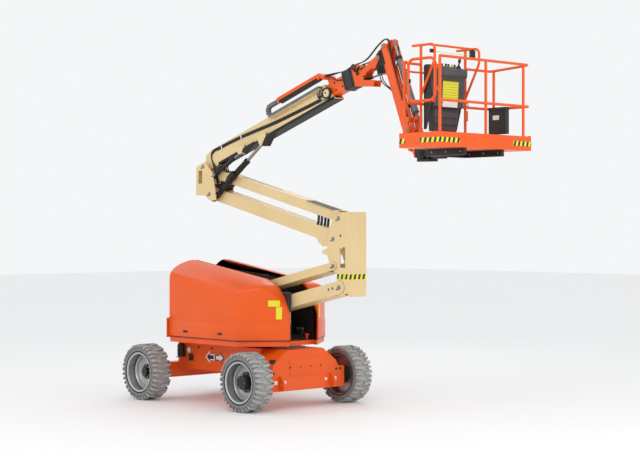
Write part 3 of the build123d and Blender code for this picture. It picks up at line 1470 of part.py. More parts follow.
with BuildPart() as platform_rails:
    for points, bend, radius in rail_paths:
        add(rail_tube(points, radius, bend))
    # hinge lugs and pins of the gate
    for lug_z in GATE_LUGS:
        with BuildSketch(Plane.XY.offset(lug_z - GATE_LUG)):
            with Locations(((GATE_HINGE_X + rail_front) / 2, -rail_side)):
                Rectangle(rail_front - GATE_HINGE_X, 20)
            with Locations((GATE_HINGE_X, -rail_side)):
                Circle(14)
        extrude(amount=GATE_LUG)
        with BuildSketch(Plane.XY.offset(lug_z - GATE_LUG)):
            with Locations((GATE_HINGE_X, -rail_side)):
                Circle(GATE_PIN_RADIUS)
        extrude(amount=GATE_LUG + GATE_SLEEVE)
save(platform_rails, "platform_rails")

gate_middle_x = (GATE_REAR_X + GATE_FRONT_X) / 2
gate_tubes = []
for gate_x in (GATE_REAR_X, GATE_FRONT_X):
    gate_path = [
        (gate_middle_x, -rail_side, GATE_BOTTOM_Z),
        (gate_x, -rail_side, GATE_BOTTOM_Z),
        (gate_x, -rail_side, GATE_TOP_Z),
        (gate_middle_x, -rail_side, GATE_TOP_Z),
    ]
    gate_tubes.append(rail_tube(gate_path, RAIL_RADIUS, GATE_BEND))
with BuildPart() as platform_gate:
    for gate_tube in gate_tubes:
        add(gate_tube)
    for lug_z in GATE_LUGS:
        with BuildSketch(Plane.XY.offset(lug_z + GATE_SEAT)):
            with Locations(((GATE_HINGE_X + GATE_FRONT_X) / 2, -rail_side)):
                Rectangle(GATE_HINGE_X - GATE_FRONT_X, 12)
            with Locations((GATE_HINGE_X, -rail_side)):
                Circle(14)
                Circle(GATE_PIN_RADIUS + PIN_CLEARANCE, mode=Mode.SUBTRACT)
        extrude(amount=GATE_SLEEVE - GATE_SEAT)
save(platform_gate, "platform_gate")

with BuildPart() as console:
    console_back = rail_back + CROSS_RAIL_RADIUS + CONSOLE_GAP
    near, far = CONSOLE_LANE
    console_outline = [
        (near, CONSOLE_TOP_Z),
        (near + 12, CONSOLE_WAIST_Z + 20),
        (near + 40, CONSOLE_WAIST_Z),
        (near + 62, CONSOLE_WAIST_Z - 20),
        (near + 85, CONSOLE_BOTTOM_Z),
        (far - 75, CONSOLE_BOTTOM_Z),
        (far - 45, CONSOLE_WAIST_Z - 20),
        (far - 40, CONSOLE_WAIST_Z),
        (far - 12, CONSOLE_WAIST_Z + 20),
        (far, CONSOLE_TOP_Z),
    ]
    with BuildSketch(Plane.YZ.offset(console_back)):
        with BuildLine():
            Polyline(*console_outline, close=True)
        make_face()
    extrude(amount=CONSOLE_DEPTH)
    # side profile: sloping panel, face and skirt
    side_points = [
        (console_back, CONSOLE_TOP_Z),
        (console_back + 60, CONSOLE_TOP_Z),
        (console_back + CONSOLE_DEPTH, CONSOLE_TOP_Z - 60),
        (console_back + CONSOLE_DEPTH, CONSOLE_TOP_Z - 150),
        (console_back + CONSOLE_DEPTH - 40, CONSOLE_TOP_Z - 180),
        (console_back + CONSOLE_DEPTH - 60, CONSOLE_WAIST_Z + 10),
        (console_back + CONSOLE_DEPTH - 110, CONSOLE_WAIST_Z - 10),
        (console_back + CONSOLE_DEPTH - 130, CONSOLE_BOTTOM_Z),
        (console_back, CONSOLE_BOTTOM_Z),
    ]
    extrude(side_face(side_points, far + 10), amount=far - near + 20, mode=Mode.INTERSECT)
save(console, "console")

with BuildPart() as document_box:
    box_size = (300, 70, 360)
    box_y = rail_side - RAIL_RADIUS - CONSOLE_GAP - box_size[1] / 2
    with BuildSketch(Plane.XY.offset(DOCUMENT_BOX_Z)):
        with Locations((DOCUMENT_BOX_X, box_y)):
            Rectangle(box_size[0], box_size[1])
    extrude(amount=box_size[2])
save(document_box, "document_box")
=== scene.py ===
"""Dresses the articulating boom lift: finishes, fasteners, hoses, tread, guards, plates and the stage."""

import json
import math

import bmesh
import bpy
from mathutils import Euler, Matrix, Vector

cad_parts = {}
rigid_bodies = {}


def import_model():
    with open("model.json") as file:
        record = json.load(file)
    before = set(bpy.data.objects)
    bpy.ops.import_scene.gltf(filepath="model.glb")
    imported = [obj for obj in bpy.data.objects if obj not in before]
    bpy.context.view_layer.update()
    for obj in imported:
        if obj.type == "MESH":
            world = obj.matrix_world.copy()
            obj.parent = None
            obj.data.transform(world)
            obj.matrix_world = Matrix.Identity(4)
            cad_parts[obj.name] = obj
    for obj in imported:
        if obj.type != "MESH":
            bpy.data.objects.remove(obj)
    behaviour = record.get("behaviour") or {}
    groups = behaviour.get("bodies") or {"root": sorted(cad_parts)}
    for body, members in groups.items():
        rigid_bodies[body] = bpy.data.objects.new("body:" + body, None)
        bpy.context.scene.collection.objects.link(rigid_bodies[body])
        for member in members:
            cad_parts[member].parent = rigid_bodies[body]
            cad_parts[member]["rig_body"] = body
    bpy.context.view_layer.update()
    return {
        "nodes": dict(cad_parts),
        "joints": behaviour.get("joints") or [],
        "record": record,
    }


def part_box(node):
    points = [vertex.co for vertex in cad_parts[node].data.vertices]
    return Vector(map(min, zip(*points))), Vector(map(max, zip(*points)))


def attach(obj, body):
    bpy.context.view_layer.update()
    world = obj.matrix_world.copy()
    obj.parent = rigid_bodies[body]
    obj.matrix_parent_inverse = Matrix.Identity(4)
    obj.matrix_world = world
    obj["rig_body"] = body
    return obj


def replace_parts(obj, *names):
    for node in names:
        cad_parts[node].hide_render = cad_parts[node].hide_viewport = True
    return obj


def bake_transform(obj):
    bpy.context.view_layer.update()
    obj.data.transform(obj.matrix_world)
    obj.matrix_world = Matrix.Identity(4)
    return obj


bl_info = {
    "name": "Articulating boom lift",
    "version": (1, 0, 0),
    "blender": (4, 5, 0),
    "location": "3D View > Sidebar > Boom lift",
    "description": "Adds the finishes and fittings of an articulating boom lift to its CAD frame",
    "category": "Object",
}

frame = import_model()
JOINTS = {joint["name"]: joint for joint in frame["joints"]}
SLOTS = {part["node"]: part["material_slot"] for part in frame["record"]["subparts"]}
WHEELS = ("front_right", "front_left", "rear_right", "rear_left")
SIDES = (-1, 1)  # right and left
ACROSS, UP, AHEAD = Vector((0, 1, 0)), Vector((0, 0, 1)), Vector((1, 0, 0))
RIGHT = Vector((0, -1, 0))


def pivot(joint):
    return Vector(JOINTS[joint]["pos_m"])


def side_place(origin, along):
    """A place whose X runs along an arm, Y across the machine and Z up off the arm."""
    along = Vector(along).normalized()
    place = Matrix((along, ACROSS, along.cross(ACROSS))).transposed().to_4x4()
    place.translation = origin
    return place


def facing(origin, outward):
    """A place whose Y points out of a surface and whose Z points up it, or ahead if it is level."""
    outward = Vector(outward).normalized()
    side = outward.cross(UP if abs(outward.z) < 0.9 else AHEAD).normalized()
    place = Matrix((side, outward, side.cross(outward))).transposed().to_4x4()
    place.translation = origin
    return place


def flanks(x, y, z):
    """Places at the same spot on the right and the left side, facing out."""
    return [facing((x, side * y, z), (0, side, 0)) for side in SIDES]


ARM_SPAN = pivot("mid_upright_turn") - pivot("tower_lift")
UPPER_SPAN = pivot("upper_arm_turn") - pivot("upper_upright_turn")
LOWER_LINK = side_place(pivot("lower_link_turn"), ARM_SPAN)
UPPER_ARM = side_place(pivot("upper_upright_turn"), UPPER_SPAN)
UPPER_LINK = side_place(pivot("upper_link_turn") - UPPER_SPAN, UPPER_SPAN)
BOOM = side_place(pivot("main_boom_lift"), JOINTS["fly_extend"]["axis"])
JIB_ARM = side_place(pivot("jib_lift"), pivot("head_level") - pivot("jib_lift"))
BOOM_SIDE = 0.090
CHASSIS_SIDE = 0.440


# ---------------------------------------------------------------- settings


class BoomLiftColours(bpy.types.PropertyGroup):
    orange: bpy.props.FloatVectorProperty(
        name="Orange paint", description="Chassis, hoods, jib and platform", subtype="COLOR",
        default=(0.83, 0.104, 0.008),
    )
    cream: bpy.props.FloatVectorProperty(
        name="Cream paint", description="Tower arms and main boom", subtype="COLOR",
        default=(0.76, 0.58, 0.30),
    )
    tyre: bpy.props.FloatVectorProperty(
        name="Tyre rubber", description="Pale non-marking rubber", subtype="COLOR",
        default=(0.36, 0.36, 0.355),
    )
    sign_yellow: bpy.props.FloatVectorProperty(
        name="Sign yellow", description="Blank plates and hazard stripes", subtype="COLOR",
        default=(0.76, 0.72, 0.015),
    )
    floor: bpy.props.FloatVectorProperty(
        name="Floor", description="Studio floor", subtype="COLOR", default=(0.90, 0.90, 0.90)
    )


class BoomLiftSizes(bpy.types.PropertyGroup):
    lug_count: bpy.props.IntProperty(
        name="Tyre lugs", description="Short lugs on each side of a tyre", default=17, min=8
    )
    wheel_nuts: bpy.props.IntProperty(name="Wheel nuts", description="Nuts on each wheel", default=9, min=4)
    hose: bpy.props.FloatProperty(
        name="Hose radius", description="Radius of a hydraulic hose", default=0.010, unit="LENGTH"
    )
    hood_edge: bpy.props.FloatProperty(
        name="Hood edge", description="Width of the hoods' soft outer edges", default=0.028, unit="LENGTH"
    )
    stripe_pitch: bpy.props.FloatProperty(
        name="Stripe pitch", description="Length of one black and yellow pair", default=0.086, unit="LENGTH"
    )
    link_count: bpy.props.IntProperty(
        name="Carrier links", description="Links in the cable carrier", default=46, min=10
    )


class BoomLiftStage(bpy.types.PropertyGroup):
    camera_place: bpy.props.FloatVectorProperty(
        name="Camera place", description="Where the camera stands", subtype="XYZ", unit="LENGTH",
        default=(18.262, -15.670, 2.597),
    )
    camera_heading: bpy.props.FloatProperty(
        name="Camera heading", description="Which way the camera looks, turned from +X", subtype="ANGLE",
        default=math.radians(136.675),
    )
    camera_pitch: bpy.props.FloatProperty(
        name="Camera pitch", description="How far the camera looks up", subtype="ANGLE",
        default=math.radians(0.094),
    )
    lens: bpy.props.FloatProperty(
        name="Lens", description="Focal length on a 36 mm sensor, in millimetres", default=89.2
    )


def settings():
    return bpy.context.scene.boom_lift_colours, bpy.context.scene.boom_lift_sizes


# ---------------------------------------------------------------- node wiring


def maths(operation, reflected=False):
    """An arithmetic method of Value that adds one Math node."""

    def apply(self, *others):
        values = (*others, self) if reflected else (self, *others)
        return self.wires.node("ShaderNodeMath", {"operation": operation}, dict(enumerate(values)))

    return apply


class Value:
    """A node socket that can be used in plain arithmetic."""

    def __init__(self, wires, socket):
        self.wires, self.socket = wires, socket

    __add__ = __radd__ = maths("ADD")
    __mul__ = __rmul__ = maths("MULTIPLY")
    __sub__ = maths("SUBTRACT")
    __rsub__ = maths("SUBTRACT", reflected=True)
    __truediv__ = maths("DIVIDE")
    __rtruediv__ = maths("DIVIDE", reflected=True)
    __pow__ = maths("POWER")
    __abs__ = maths("ABSOLUTE")
    __gt__ = maths("GREATER_THAN")
    fraction = maths("FRACT")

    def between(self, low, high):
        """0 below low, 1 above high, smooth in between."""
        limits = {"Value": self, "From Min": low, "From Max": high, "To Min": 0.0, "To Max": 1.0}
        return self.wires.node("ShaderNodeMapRange", {"interpolation_type": "SMOOTHSTEP"}, limits)


class Wires:
    """Adds nodes to a tree and joins them."""

    def __init__(self, tree):
        self.tree = tree

    def node(self, kind, choices=None, inputs=None, out=0):
        made = self.tree.nodes.new(kind)
        for name, choice in (choices or {}).items():
            setattr(made, name, choice)
        for name, value in (inputs or {}).items():
            if isinstance(value, Value):
                self.tree.links.new(value.socket, made.inputs[name])
            else:
                made.inputs[name].default_value = value
        return Value(self, made.outputs[out]) if made.outputs else made


class Finish(Wires):
    """One procedural material, read from Object coordinates."""

    made = {}

    def __init__(self, name):
        self.material = bpy.data.materials.new(name)
        self.material.use_nodes = True
        super().__init__(self.material.node_tree)
        self.tree.nodes.clear()
        self.spot = self.node("ShaderNodeTexCoord", out="Object")
        apart = self.node("ShaderNodeSeparateXYZ", inputs={"Vector": self.spot}).socket.node
        self.parts = [Value(self, output) for output in apart.outputs]
        Finish.made[name] = self.material

    def noise(self, scale, detail=2.0, stretch=None):
        spot = self.spot
        if stretch:
            spot = self.node("ShaderNodeVectorMath", {"operation": "MULTIPLY"}, {0: spot, 1: stretch})
        return self.node("ShaderNodeTexNoise", inputs={"Vector": spot, "Scale": scale, "Detail": detail})

    def mix(self, amount, first, second):
        return self.node("ShaderNodeMix", {"data_type": "RGBA"}, {0: amount, 6: first, 7: second}, out=2)

    def finish(
        self, colour, roughness, relief=None, depth=0.001, round_edge=0.0, metallic=0.0, coat=0.0, sheen=0.5
    ):
        """Ends the material in one surface shader; relief makes its bumps, round_edge softens its edges."""
        shader = {"Base Color": colour, "Roughness": roughness, "Metallic": metallic}
        shader |= {"Coat Weight": coat, "Coat Roughness": 0.12, "Specular IOR Level": sheen}
        if round_edge:
            shader["Normal"] = self.node("ShaderNodeBevel", {"samples": 3}, {"Radius": round_edge})
        if relief is not None:
            bump = {"Height": relief, "Distance": depth, "Strength": 0.6}
            if round_edge:
                bump["Normal"] = shader["Normal"]
            shader["Normal"] = self.node("ShaderNodeBump", inputs=bump)
        surface = self.node("ShaderNodeBsdfPrincipled", inputs=shader)
        self.node("ShaderNodeOutputMaterial", inputs={"Surface": surface})


def shade(colour, amount):
    return tuple(recess_shade * amount for recess_shade in colour[:3]) + (1.0,)


def paint(name, colour, roughness):
    """Sprayed steel: faint orange peel, cloudy sheen and dust that thickens near the ground."""
    finish = Finish(name)
    cloud = finish.noise(1.6, 3.0)
    streak = finish.noise(7.0, 4.0, (1.0, 1.0, 0.3))
    grime = (1.1 - finish.parts[2]).between(0.0, 1.3) * streak.between(0.42, 0.75) * 0.5
    body = finish.mix(cloud.between(0.3, 0.8), shade(colour, 0.94), shade(colour, 1.03))
    body = finish.mix(grime * 0.35, body, (0.30, 0.24, 0.19, 1.0))
    rough, peel = roughness + grime * 0.3 + cloud * 0.08, finish.noise(210.0, 1.0)
    finish.finish(body, rough, relief=peel, depth=0.0003, round_edge=0.004, coat=0.06, sheen=0.28)


def plastic(name, colour, roughness):
    """Moulded plastic with a pebbled skin and a little dust in it."""
    finish = Finish(name)
    cloud = finish.noise(5.0, 3.0)
    pebble = finish.noise(420.0, 2.0)
    body = finish.mix(cloud.between(0.35, 0.8) * 0.5, shade(colour, 1.0), shade(colour, 1.7))
    finish.finish(body, roughness + cloud * 0.15, relief=pebble, depth=0.0006, round_edge=0.003)


def metal(name, colour, roughness, scale=90.0):
    """Bare or plated metal with fine handling marks."""
    finish = Finish(name)
    marks = finish.noise(scale, 3.0, (1.0, 1.0, 1.0))
    body = finish.mix(marks.between(0.35, 0.75), shade(colour, 0.85), shade(colour, 1.0))
    finish.finish(body, roughness + marks * 0.14, metallic=1.0, relief=marks, depth=0.0002)


def tyre_rubber(name, colour):
    """Pale rubber with painted shade between the lugs, lighter towards their tops, and black at the bead."""
    finish = Finish(name)
    wheel = pivot("front_left_spin")
    along = abs(finish.parts[0]) - abs(wheel.x)
    rise = finish.parts[2] - wheel.z
    radius = (along * along + rise * rise) ** 0.5
    tread = radius.between(0.372, 0.412)
    mottle = finish.noise(26.0, 4.0)
    scuff = finish.noise(90.0, 2.0)
    # painted shade: darker down between the lugs and lighter towards the lug tops
    body = finish.mix(tread, shade(colour, 0.62), shade(colour, 1.12))
    body = finish.mix(mottle.between(0.4, 0.75) * 0.5, body, shade(colour, 0.74))
    body = finish.mix(1 - radius.between(0.318, 0.326), body, (0.02, 0.02, 0.02, 1.0))
    finish.finish(body, 0.78 - scuff * 0.1, relief=mottle + scuff * 0.5, depth=0.0016, round_edge=0.006)


def hazard(name, yellow, pitch, slant):
    """Slanted black and yellow bands that run round a corner."""
    finish = Finish(name)
    x, y, z = finish.parts
    band = ((x + y + z * slant) / pitch).fraction() > 0.5
    wear = finish.noise(60.0, 3.0).between(0.6, 0.85)
    body = finish.mix(band, (0.012, 0.012, 0.012, 1.0), shade(yellow, 1.0))
    body = finish.mix(wear * 0.3, body, (0.2, 0.19, 0.16, 1.0))
    finish.finish(body, 0.38 + wear * 0.2, relief=wear, depth=0.0002)


def sticker(name, colour, line=None, pitch=0.034):
    """A blank printed plate; a line colour adds an empty ruled grid."""
    finish = Finish(name)
    soil = finish.noise(18.0, 4.0)
    body = finish.mix(soil.between(0.45, 0.8) * 0.4, shade(colour, 1.0), shade(colour, 0.8))
    if line:
        rows = abs((finish.parts[2] / pitch).fraction() - 0.5) > 0.42
        body = finish.mix(rows * 0.75, body, line)
    finish.finish(body, 0.35 + soil * 0.15, relief=soil, depth=0.0002)


def hose_rubber(name, colour):
    """Braid-wrapped hydraulic hose."""
    finish = Finish(name)
    weave = finish.node("ShaderNodeTexVoronoi", inputs={"Vector": finish.spot, "Scale": 260.0})
    cloud = finish.noise(12.0, 2.0)
    body = finish.mix(cloud.between(0.3, 0.8), shade(colour, 0.8), shade(colour, 1.8))
    finish.finish(body, 0.46 + cloud * 0.2, relief=weave, depth=0.0008)


def studio_floor(name, colour):
    finish = Finish(name)
    cloud = finish.noise(0.4, 2.0)
    body = finish.mix(cloud, shade(colour, 0.99), shade(colour, 1.0))
    finish.finish(body, 0.7 + cloud * 0.1)


def make_finishes():
    colours, sizes = settings()
    paint("orange", colours.orange, 0.30)
    paint("cream", colours.cream, 0.34)
    paint("black_paint", (0.016, 0.015, 0.015), 0.36)
    paint("barrel_grey", (0.16, 0.16, 0.17), 0.40)
    # near-black steel for fittings, also used as painted shade on the boom's lower sheets, the trough strip,
    # the side recess and the upper arm's slots
    paint("dark_steel_and_painted_shade", (0.014, 0.011, 0.010), 0.5)
    plastic("battery_case", (0.014, 0.014, 0.016), 0.55)
    plastic("black_plastic", (0.018, 0.018, 0.019), 0.48)
    plastic("console_plastic", (0.062, 0.062, 0.066), 0.52)
    plastic("chain_grey", (0.15, 0.145, 0.15), 0.5)
    plastic("red_plastic", (0.55, 0.02, 0.015), 0.4)
    plastic("yellow_plastic", (0.75, 0.55, 0.02), 0.4)
    plastic("cord_green", (0.55, 0.72, 0.05), 0.45)
    metal("rim_silver", (0.60, 0.60, 0.61), 0.38)
    metal("chrome", (0.36, 0.35, 0.34), 0.24, 40.0)
    metal("zinc", (0.34, 0.32, 0.30), 0.42)
    tyre_rubber("tyre_grey", colours.tyre)
    hazard("hazard_tape", colours.sign_yellow, sizes.stripe_pitch, -0.28)
    sticker("yellow_sign", colours.sign_yellow)
    sticker("yellow_panel", colours.sign_yellow, (0.05, 0.05, 0.02, 1.0))
    sticker("white_sign", (0.80, 0.80, 0.79))
    sticker("black_sign", (0.012, 0.012, 0.012))
    hose_rubber("hose", (0.014, 0.014, 0.015))
    for node, thing in frame["nodes"].items():
        for slot in thing.material_slots:
            slot.material = Finish.made[SLOTS[node]]


# ---------------------------------------------------------------- shapes


def run_between(path, i):
    """The direction of a path at one of its points, from the point before to the one after."""
    before, after = Vector(path[max(i - 1, 0)]), Vector(path[min(i + 1, len(path) - 1)])
    return (after - before).normalized()


def circle(centre, radius, steps):
    """A closed outline round a centre; the centre's first number is its distance from the axis."""
    turns = [math.tau * i / steps for i in range(steps)]
    return [(centre[0] + radius * math.cos(turn), centre[1] + radius * math.sin(turn)) for turn in turns]


class Shape:
    """Closed solids gathered in one mesh; every solid is given its place."""

    def __init__(self):
        self.mesh = bmesh.new()

    def skin(self, rings, place=Matrix(), closed=False):
        """Joins rings of points into a skin; a ring of one point is a tip."""
        rows = [[self.mesh.verts.new(place @ Vector(point)) for point in ring] for ring in rings]
        steps = max(len(row) for row in rows)
        for first, second in zip(rows, rows[1:] + rows[:1] if closed else rows[1:]):
            for i in range(steps):
                j = (i + 1) % steps
                corners = [row[k % len(row)] for row, k in ((first, i), (first, j), (second, j), (second, i))]
                kept = [corner for k, corner in enumerate(corners) if corner not in corners[:k]]
                if len(kept) > 2:
                    self.mesh.faces.new(kept)
        for row in () if closed else (rows[0], rows[-1]):
            if len(row) > 2:
                self.mesh.faces.new(row)
        return self

    def prism(self, outline, low, high, place=Matrix()):
        """An outline in X and Z, thick from low to high in Y."""
        return self.skin([[(x, y, z) for x, z in outline] for y in sorted((low, high))], place)

    def block(self, low, high, place=Matrix()):
        (x0, y0, z0), (x1, y1, z1) = low, high
        return self.prism([(x0, z0), (x1, z0), (x1, z1), (x0, z1)], y0, y1, place)

    def plate(self, place, width, height, thickness=0.002, corner=0.006):
        """A rounded plate that stands on a surface, centred on its place."""
        outline = []
        for x, z, start in ((1, 1, 0), (-1, 1, 90), (-1, -1, 180), (1, -1, 270)):
            for turn in (0, 30, 60, 90):
                angle = math.radians(start + turn)
                across, up = x * (width / 2 - corner), z * (height / 2 - corner)
                outline.append((across + corner * math.cos(angle), up + corner * math.sin(angle)))
        return self.prism(outline, -0.001, thickness, place)

    def lathe(self, profile, place=Matrix(), steps=32):
        """A profile of (radius, Y) turned about Y: closed, or from tip to tip."""
        rings = []
        for radius, y in profile:
            turns = [math.tau * i / steps for i in range(steps)] if radius > 0 else [0.0]
            rings.append([(radius * math.cos(turn), y, radius * math.sin(turn)) for turn in turns])
        return self.skin(rings, place, closed=profile[0][0] > 0)

    def rod(self, start, end, radius, steps=20):
        run = Vector(end) - Vector(start)
        profile = [(0, 0), (radius, 0), (radius, run.length), (0, run.length)]
        return self.lathe(profile, facing(start, run), steps)

    def strip(self, path, width, low, high, place=Matrix()):
        """A band of the given width along a path in X and Z, thick from low to high in Y."""
        left, right = [], []
        for i, (x, z) in enumerate(path):
            run = run_between(path, i) * (width / 2)
            left.append((x - run.y, z + run.x))
            right.append((x + run.y, z - run.x))
        return self.prism(left + right[::-1], low, high, place)

    def ribbon(self, path, low, high, out):
        """An upright band of plan points, from height low to high, pushed out by a thickness."""
        rings, slope = [], abs(out) * 0.4
        for i, (x, y) in enumerate(path):
            run = run_between(path, i)
            outer = (x + run.y * out, y - run.x * out)
            rings.append([(x, y, low), (*outer, low + slope), (*outer, high - slope), (x, y, high)])
        return self.skin(rings)

    def data(self, name):
        bmesh.ops.recalc_face_normals(self.mesh, faces=self.mesh.faces)
        mesh = bpy.data.meshes.new(name)
        self.mesh.to_mesh(mesh)
        self.mesh.free()
        return mesh


def show(name, data):
    thing = bpy.data.objects.new(name, data)
    bpy.context.scene.collection.objects.link(thing)
    return thing


def as_plain_mesh(thing, name):
    """The object's evaluated mesh, on a new object with no modifiers."""
    graph = bpy.context.evaluated_depsgraph_get()
    graph.update()
    mesh = bpy.data.meshes.new_from_object(thing.evaluated_get(graph), depsgraph=graph)
    bpy.data.objects.remove(thing)
    mesh.name = name
    return show(name, mesh)


def settle(thing, finish, body, smooth=35.0):
    """Gives a finished mesh its finish, its shading and the body that it rides on."""
    if not thing.data.polygons:
        raise RuntimeError(f"{thing.name} came out empty")
    thing.data.materials.clear()
    thing.data.materials.append(Finish.made[finish])
    thing.data.shade_smooth()
    thing.data.set_sharp_from_angle(angle=math.radians(smooth))
    if body:
        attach(thing, body)
    return thing


def add_piece(name, shape, finish, body, edge=0.0, segments=2, smooth=35.0):
    """A Shape made into one piece; edge is the width of its rounded edges."""
    thing = show(name, shape.data(name))
    if edge:
        bevel = thing.modifiers.new("Rounded edges", "BEVEL")
        bevel.width, bevel.segments, bevel.limit_method = edge, segments, "ANGLE"
        bevel.angle_limit = math.radians(28)
        thing = as_plain_mesh(thing, name)
    return settle(thing, finish, body, smooth)


def add_hoses(name, routes, radius, finish, body, blend=None, sides=3):
    """Smooth hoses, each on one NURBS line through its own points."""
    curve = bpy.data.curves.new(name, "CURVE")
    curve.dimensions, curve.use_fill_caps = "3D", True
    curve.bevel_depth, curve.bevel_resolution = radius, sides
    for route in routes:
        spline = curve.splines.new("NURBS")
        spline.points.add(len(route) - 1)
        for point, place in zip(spline.points, route):
            point.co = (*place, 1.0)
        spline.order_u, spline.use_endpoint_u, spline.resolution_u = 3, True, 6
    thing = settle(as_plain_mesh(show(name, curve), name), finish, None if blend else body, smooth=60)
    if blend:
        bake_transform(thing)
    return thing


def soften(node, finish, wide, fine, thin=0.034):
    """A copy of a CAD node with rounded edges, shown in its place."""
    mesh = frame["nodes"][node].data.copy()
    skin = bmesh.new()
    skin.from_mesh(mesh)
    bmesh.ops.remove_doubles(skin, verts=skin.verts, dist=0.00005)
    bmesh.ops.dissolve_limit(skin, angle_limit=math.radians(1.0), verts=skin.verts, edges=skin.edges)
    weight = skin.edges.layers.float.new("bevel_weight_edge")
    for edge in skin.edges:
        if len(edge.link_faces) != 2 or edge.calc_face_angle_signed(0) < math.radians(24):
            continue
        sides = [(face.calc_area(), [side.calc_length() for side in face.edges]) for face in edge.link_faces]
        slim = min(area / max(lengths) for area, lengths in sides) < thin
        edge[weight] = fine / wide if slim else 1.0
    skin.to_mesh(mesh)
    skin.free()
    thing = show(node + "_shell", mesh)
    bevel = thing.modifiers.new("Rounded edges", "BEVEL")
    bevel.width, bevel.segments, bevel.limit_method, bevel.use_clamp_overlap = wide, 3, "WEIGHT", False
    thing = as_plain_mesh(thing, node + "_shell")
    settle(thing, finish, frame["nodes"][node]["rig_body"], 30)
    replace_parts(thing, node)


def along_boom(*points):
    """Points given as distance along the boom, place across and height off its line."""
    return [BOOM @ Vector(point) for point in points]


# ---------------------------------------------------------------- repeats


class Repeats(Wires):
    """A Geometry Nodes tree that puts one item many times; its sizes are named inputs."""

    trees = {}

    def __init__(self, name, sizes=()):
        self.group = bpy.data.node_groups.new(name, "GeometryNodeTree")
        super().__init__(self.group)
        for label, kind in (("Geometry", "Geometry"), ("Item", "Object"), ("Finish", "Material"), *sizes):
            self.group.interface.new_socket(label, in_out="INPUT", socket_type="NodeSocket" + kind)
        self.group.interface.new_socket("Geometry", in_out="OUTPUT", socket_type="NodeSocketGeometry")
        self.given = self.node("NodeGroupInput").socket.node
        self.item = self.node("GeometryNodeObjectInfo", inputs={"Object": self.input("Item")}, out="Geometry")
        Repeats.trees[name] = self.group

    def input(self, label):
        return Value(self, self.given.outputs[label])

    def end(self, points, item, rotation):
        spots = {"Points": points, "Instance": item, "Rotation": rotation}
        copies = self.node("GeometryNodeInstanceOnPoints", inputs=spots)
        solid = self.node("GeometryNodeRealizeInstances", inputs={"Geometry": copies})
        given = {"Geometry": solid, "Material": self.input("Finish")}
        self.node("NodeGroupOutput", inputs={"Geometry": self.node("GeometryNodeSetMaterial", inputs=given)})


def make_repeat_trees():
    spots = Repeats("Items at places")
    turn = spots.node("GeometryNodeInputNamedAttribute", {"data_type": "FLOAT_VECTOR"}, {"Name": "turn"})
    turned = spots.node("FunctionNodeEulerToRotation", inputs={"Euler": turn})
    spots.end(spots.input("Geometry"), spots.item, turned)

    ring = Repeats("Items in a ring", (("Count", "Int"), ("Radius", "Float"), ("Start", "Float")))
    points = ring.node("GeometryNodeMeshLine", inputs={"Count": ring.input("Count"), "Offset": (0, 0, 0)})
    angle = (ring.node("GeometryNodeInputIndex") + ring.input("Start")) * math.tau / ring.input("Count")
    raised = ring.node("ShaderNodeCombineXYZ", inputs={"Z": ring.input("Radius")})
    lifted = ring.node("GeometryNodeTransform", inputs={"Geometry": ring.item, "Translation": raised})
    euler = ring.node("ShaderNodeCombineXYZ", inputs={"Y": angle})
    ring.end(points, lifted, ring.node("FunctionNodeEulerToRotation", inputs={"Euler": euler}))

    path = Repeats("Items along a path", (("Count", "Int"),))
    line = {"Curve": path.input("Geometry"), "Count": path.input("Count")}
    tangent = {"Vector": path.node("GeometryNodeInputTangent")}
    lined = path.node("FunctionNodeAlignRotationToVector", {"axis": "X", "pivot_axis": "Y"}, tangent)
    path.end(path.node("GeometryNodeResampleCurve", inputs=line), path.item, lined)


def run_tree(name, tree, host, item, finish, sizes, place=Matrix()):
    """Runs a tree on its host data and returns the plain mesh, moved to its place."""
    sample, thing = show("item", item.data("item")), show(name, host)
    group = Repeats.trees[tree]
    modifier = thing.modifiers.new("Repeats", "NODES")
    modifier.node_group = group
    values = {"Item": sample, "Finish": Finish.made[finish], **sizes}
    for socket in group.interface.items_tree:
        if socket.in_out == "INPUT" and socket.name in values:
            modifier[socket.identifier] = values[socket.name]
    thing = as_plain_mesh(thing, name)
    bpy.data.objects.remove(sample)
    thing.data.transform(place)
    return thing


def repeat_at(name, item, places, finish, body):
    host = bpy.data.meshes.new(name)
    host.from_pydata([place.translation for place in places], [], [])
    turn = host.attributes.new("turn", "FLOAT_VECTOR", "POINT")
    for i, place in enumerate(places):
        turn.data[i].vector = place.to_euler()
    return settle(run_tree(name, "Items at places", host, item, finish, {}), finish, body)


def repeat_round(name, item, place, count, radius, finish, body, start=0.0, slot=None):
    sizes, host = {"Count": count, "Radius": radius, "Start": start}, bpy.data.meshes.new(name)
    return settle(run_tree(name, "Items in a ring", host, item, finish, sizes, place), finish, body)


def bolt(radius, height):
    """A hexagon head on its washer, standing on Y = 0."""
    washer, top = radius * 1.5, [(radius, height * 0.85), (radius * 0.8, height), (0, height)]
    shape = Shape().lathe([(0, -0.002), (washer, -0.002), (washer, 0.002), (0, 0.002)], steps=12)
    return shape.lathe([(0, 0), (radius, 0), *top], steps=6)


def pin_head(radius):
    """A pivot pin's end: chamfered head, centre hole and a small keeper with its screw."""
    rim = [(0, -0.004), (radius, -0.004), (radius, 0.007), (radius * 0.86, 0.011)]
    shape = Shape().lathe([*rim, (radius * 0.34, 0.011), (radius * 0.26, 0.006), (0, 0.006)], steps=24)
    keeper, screw = (Matrix.Translation((radius * share, 0, -radius * 0.9)) for share in (1.25, 1.45))
    shape.plate(keeper, radius * 1.3, radius * 0.62, 0.006, 0.004)
    return shape.lathe([(0, 0), (0.008, 0), (0.008, 0.013), (0, 0.013)], screw, 6)


# ---------------------------------------------------------------- operators


class BoomLiftOperator(bpy.types.Operator):
    bl_options = {"REGISTER", "UNDO"}

    def execute(self, context):
        self.build(*settings())
        return {"FINISHED"}


class BOOMLIFT_OT_finishes(BoomLiftOperator):
    """Makes every finish and the repeat trees, and gives the CAD nodes their finishes"""

    bl_idname = "boomlift.finishes"
    bl_label = "Finishes"

    def build(self, colours, sizes):
        make_finishes()
        make_repeat_trees()


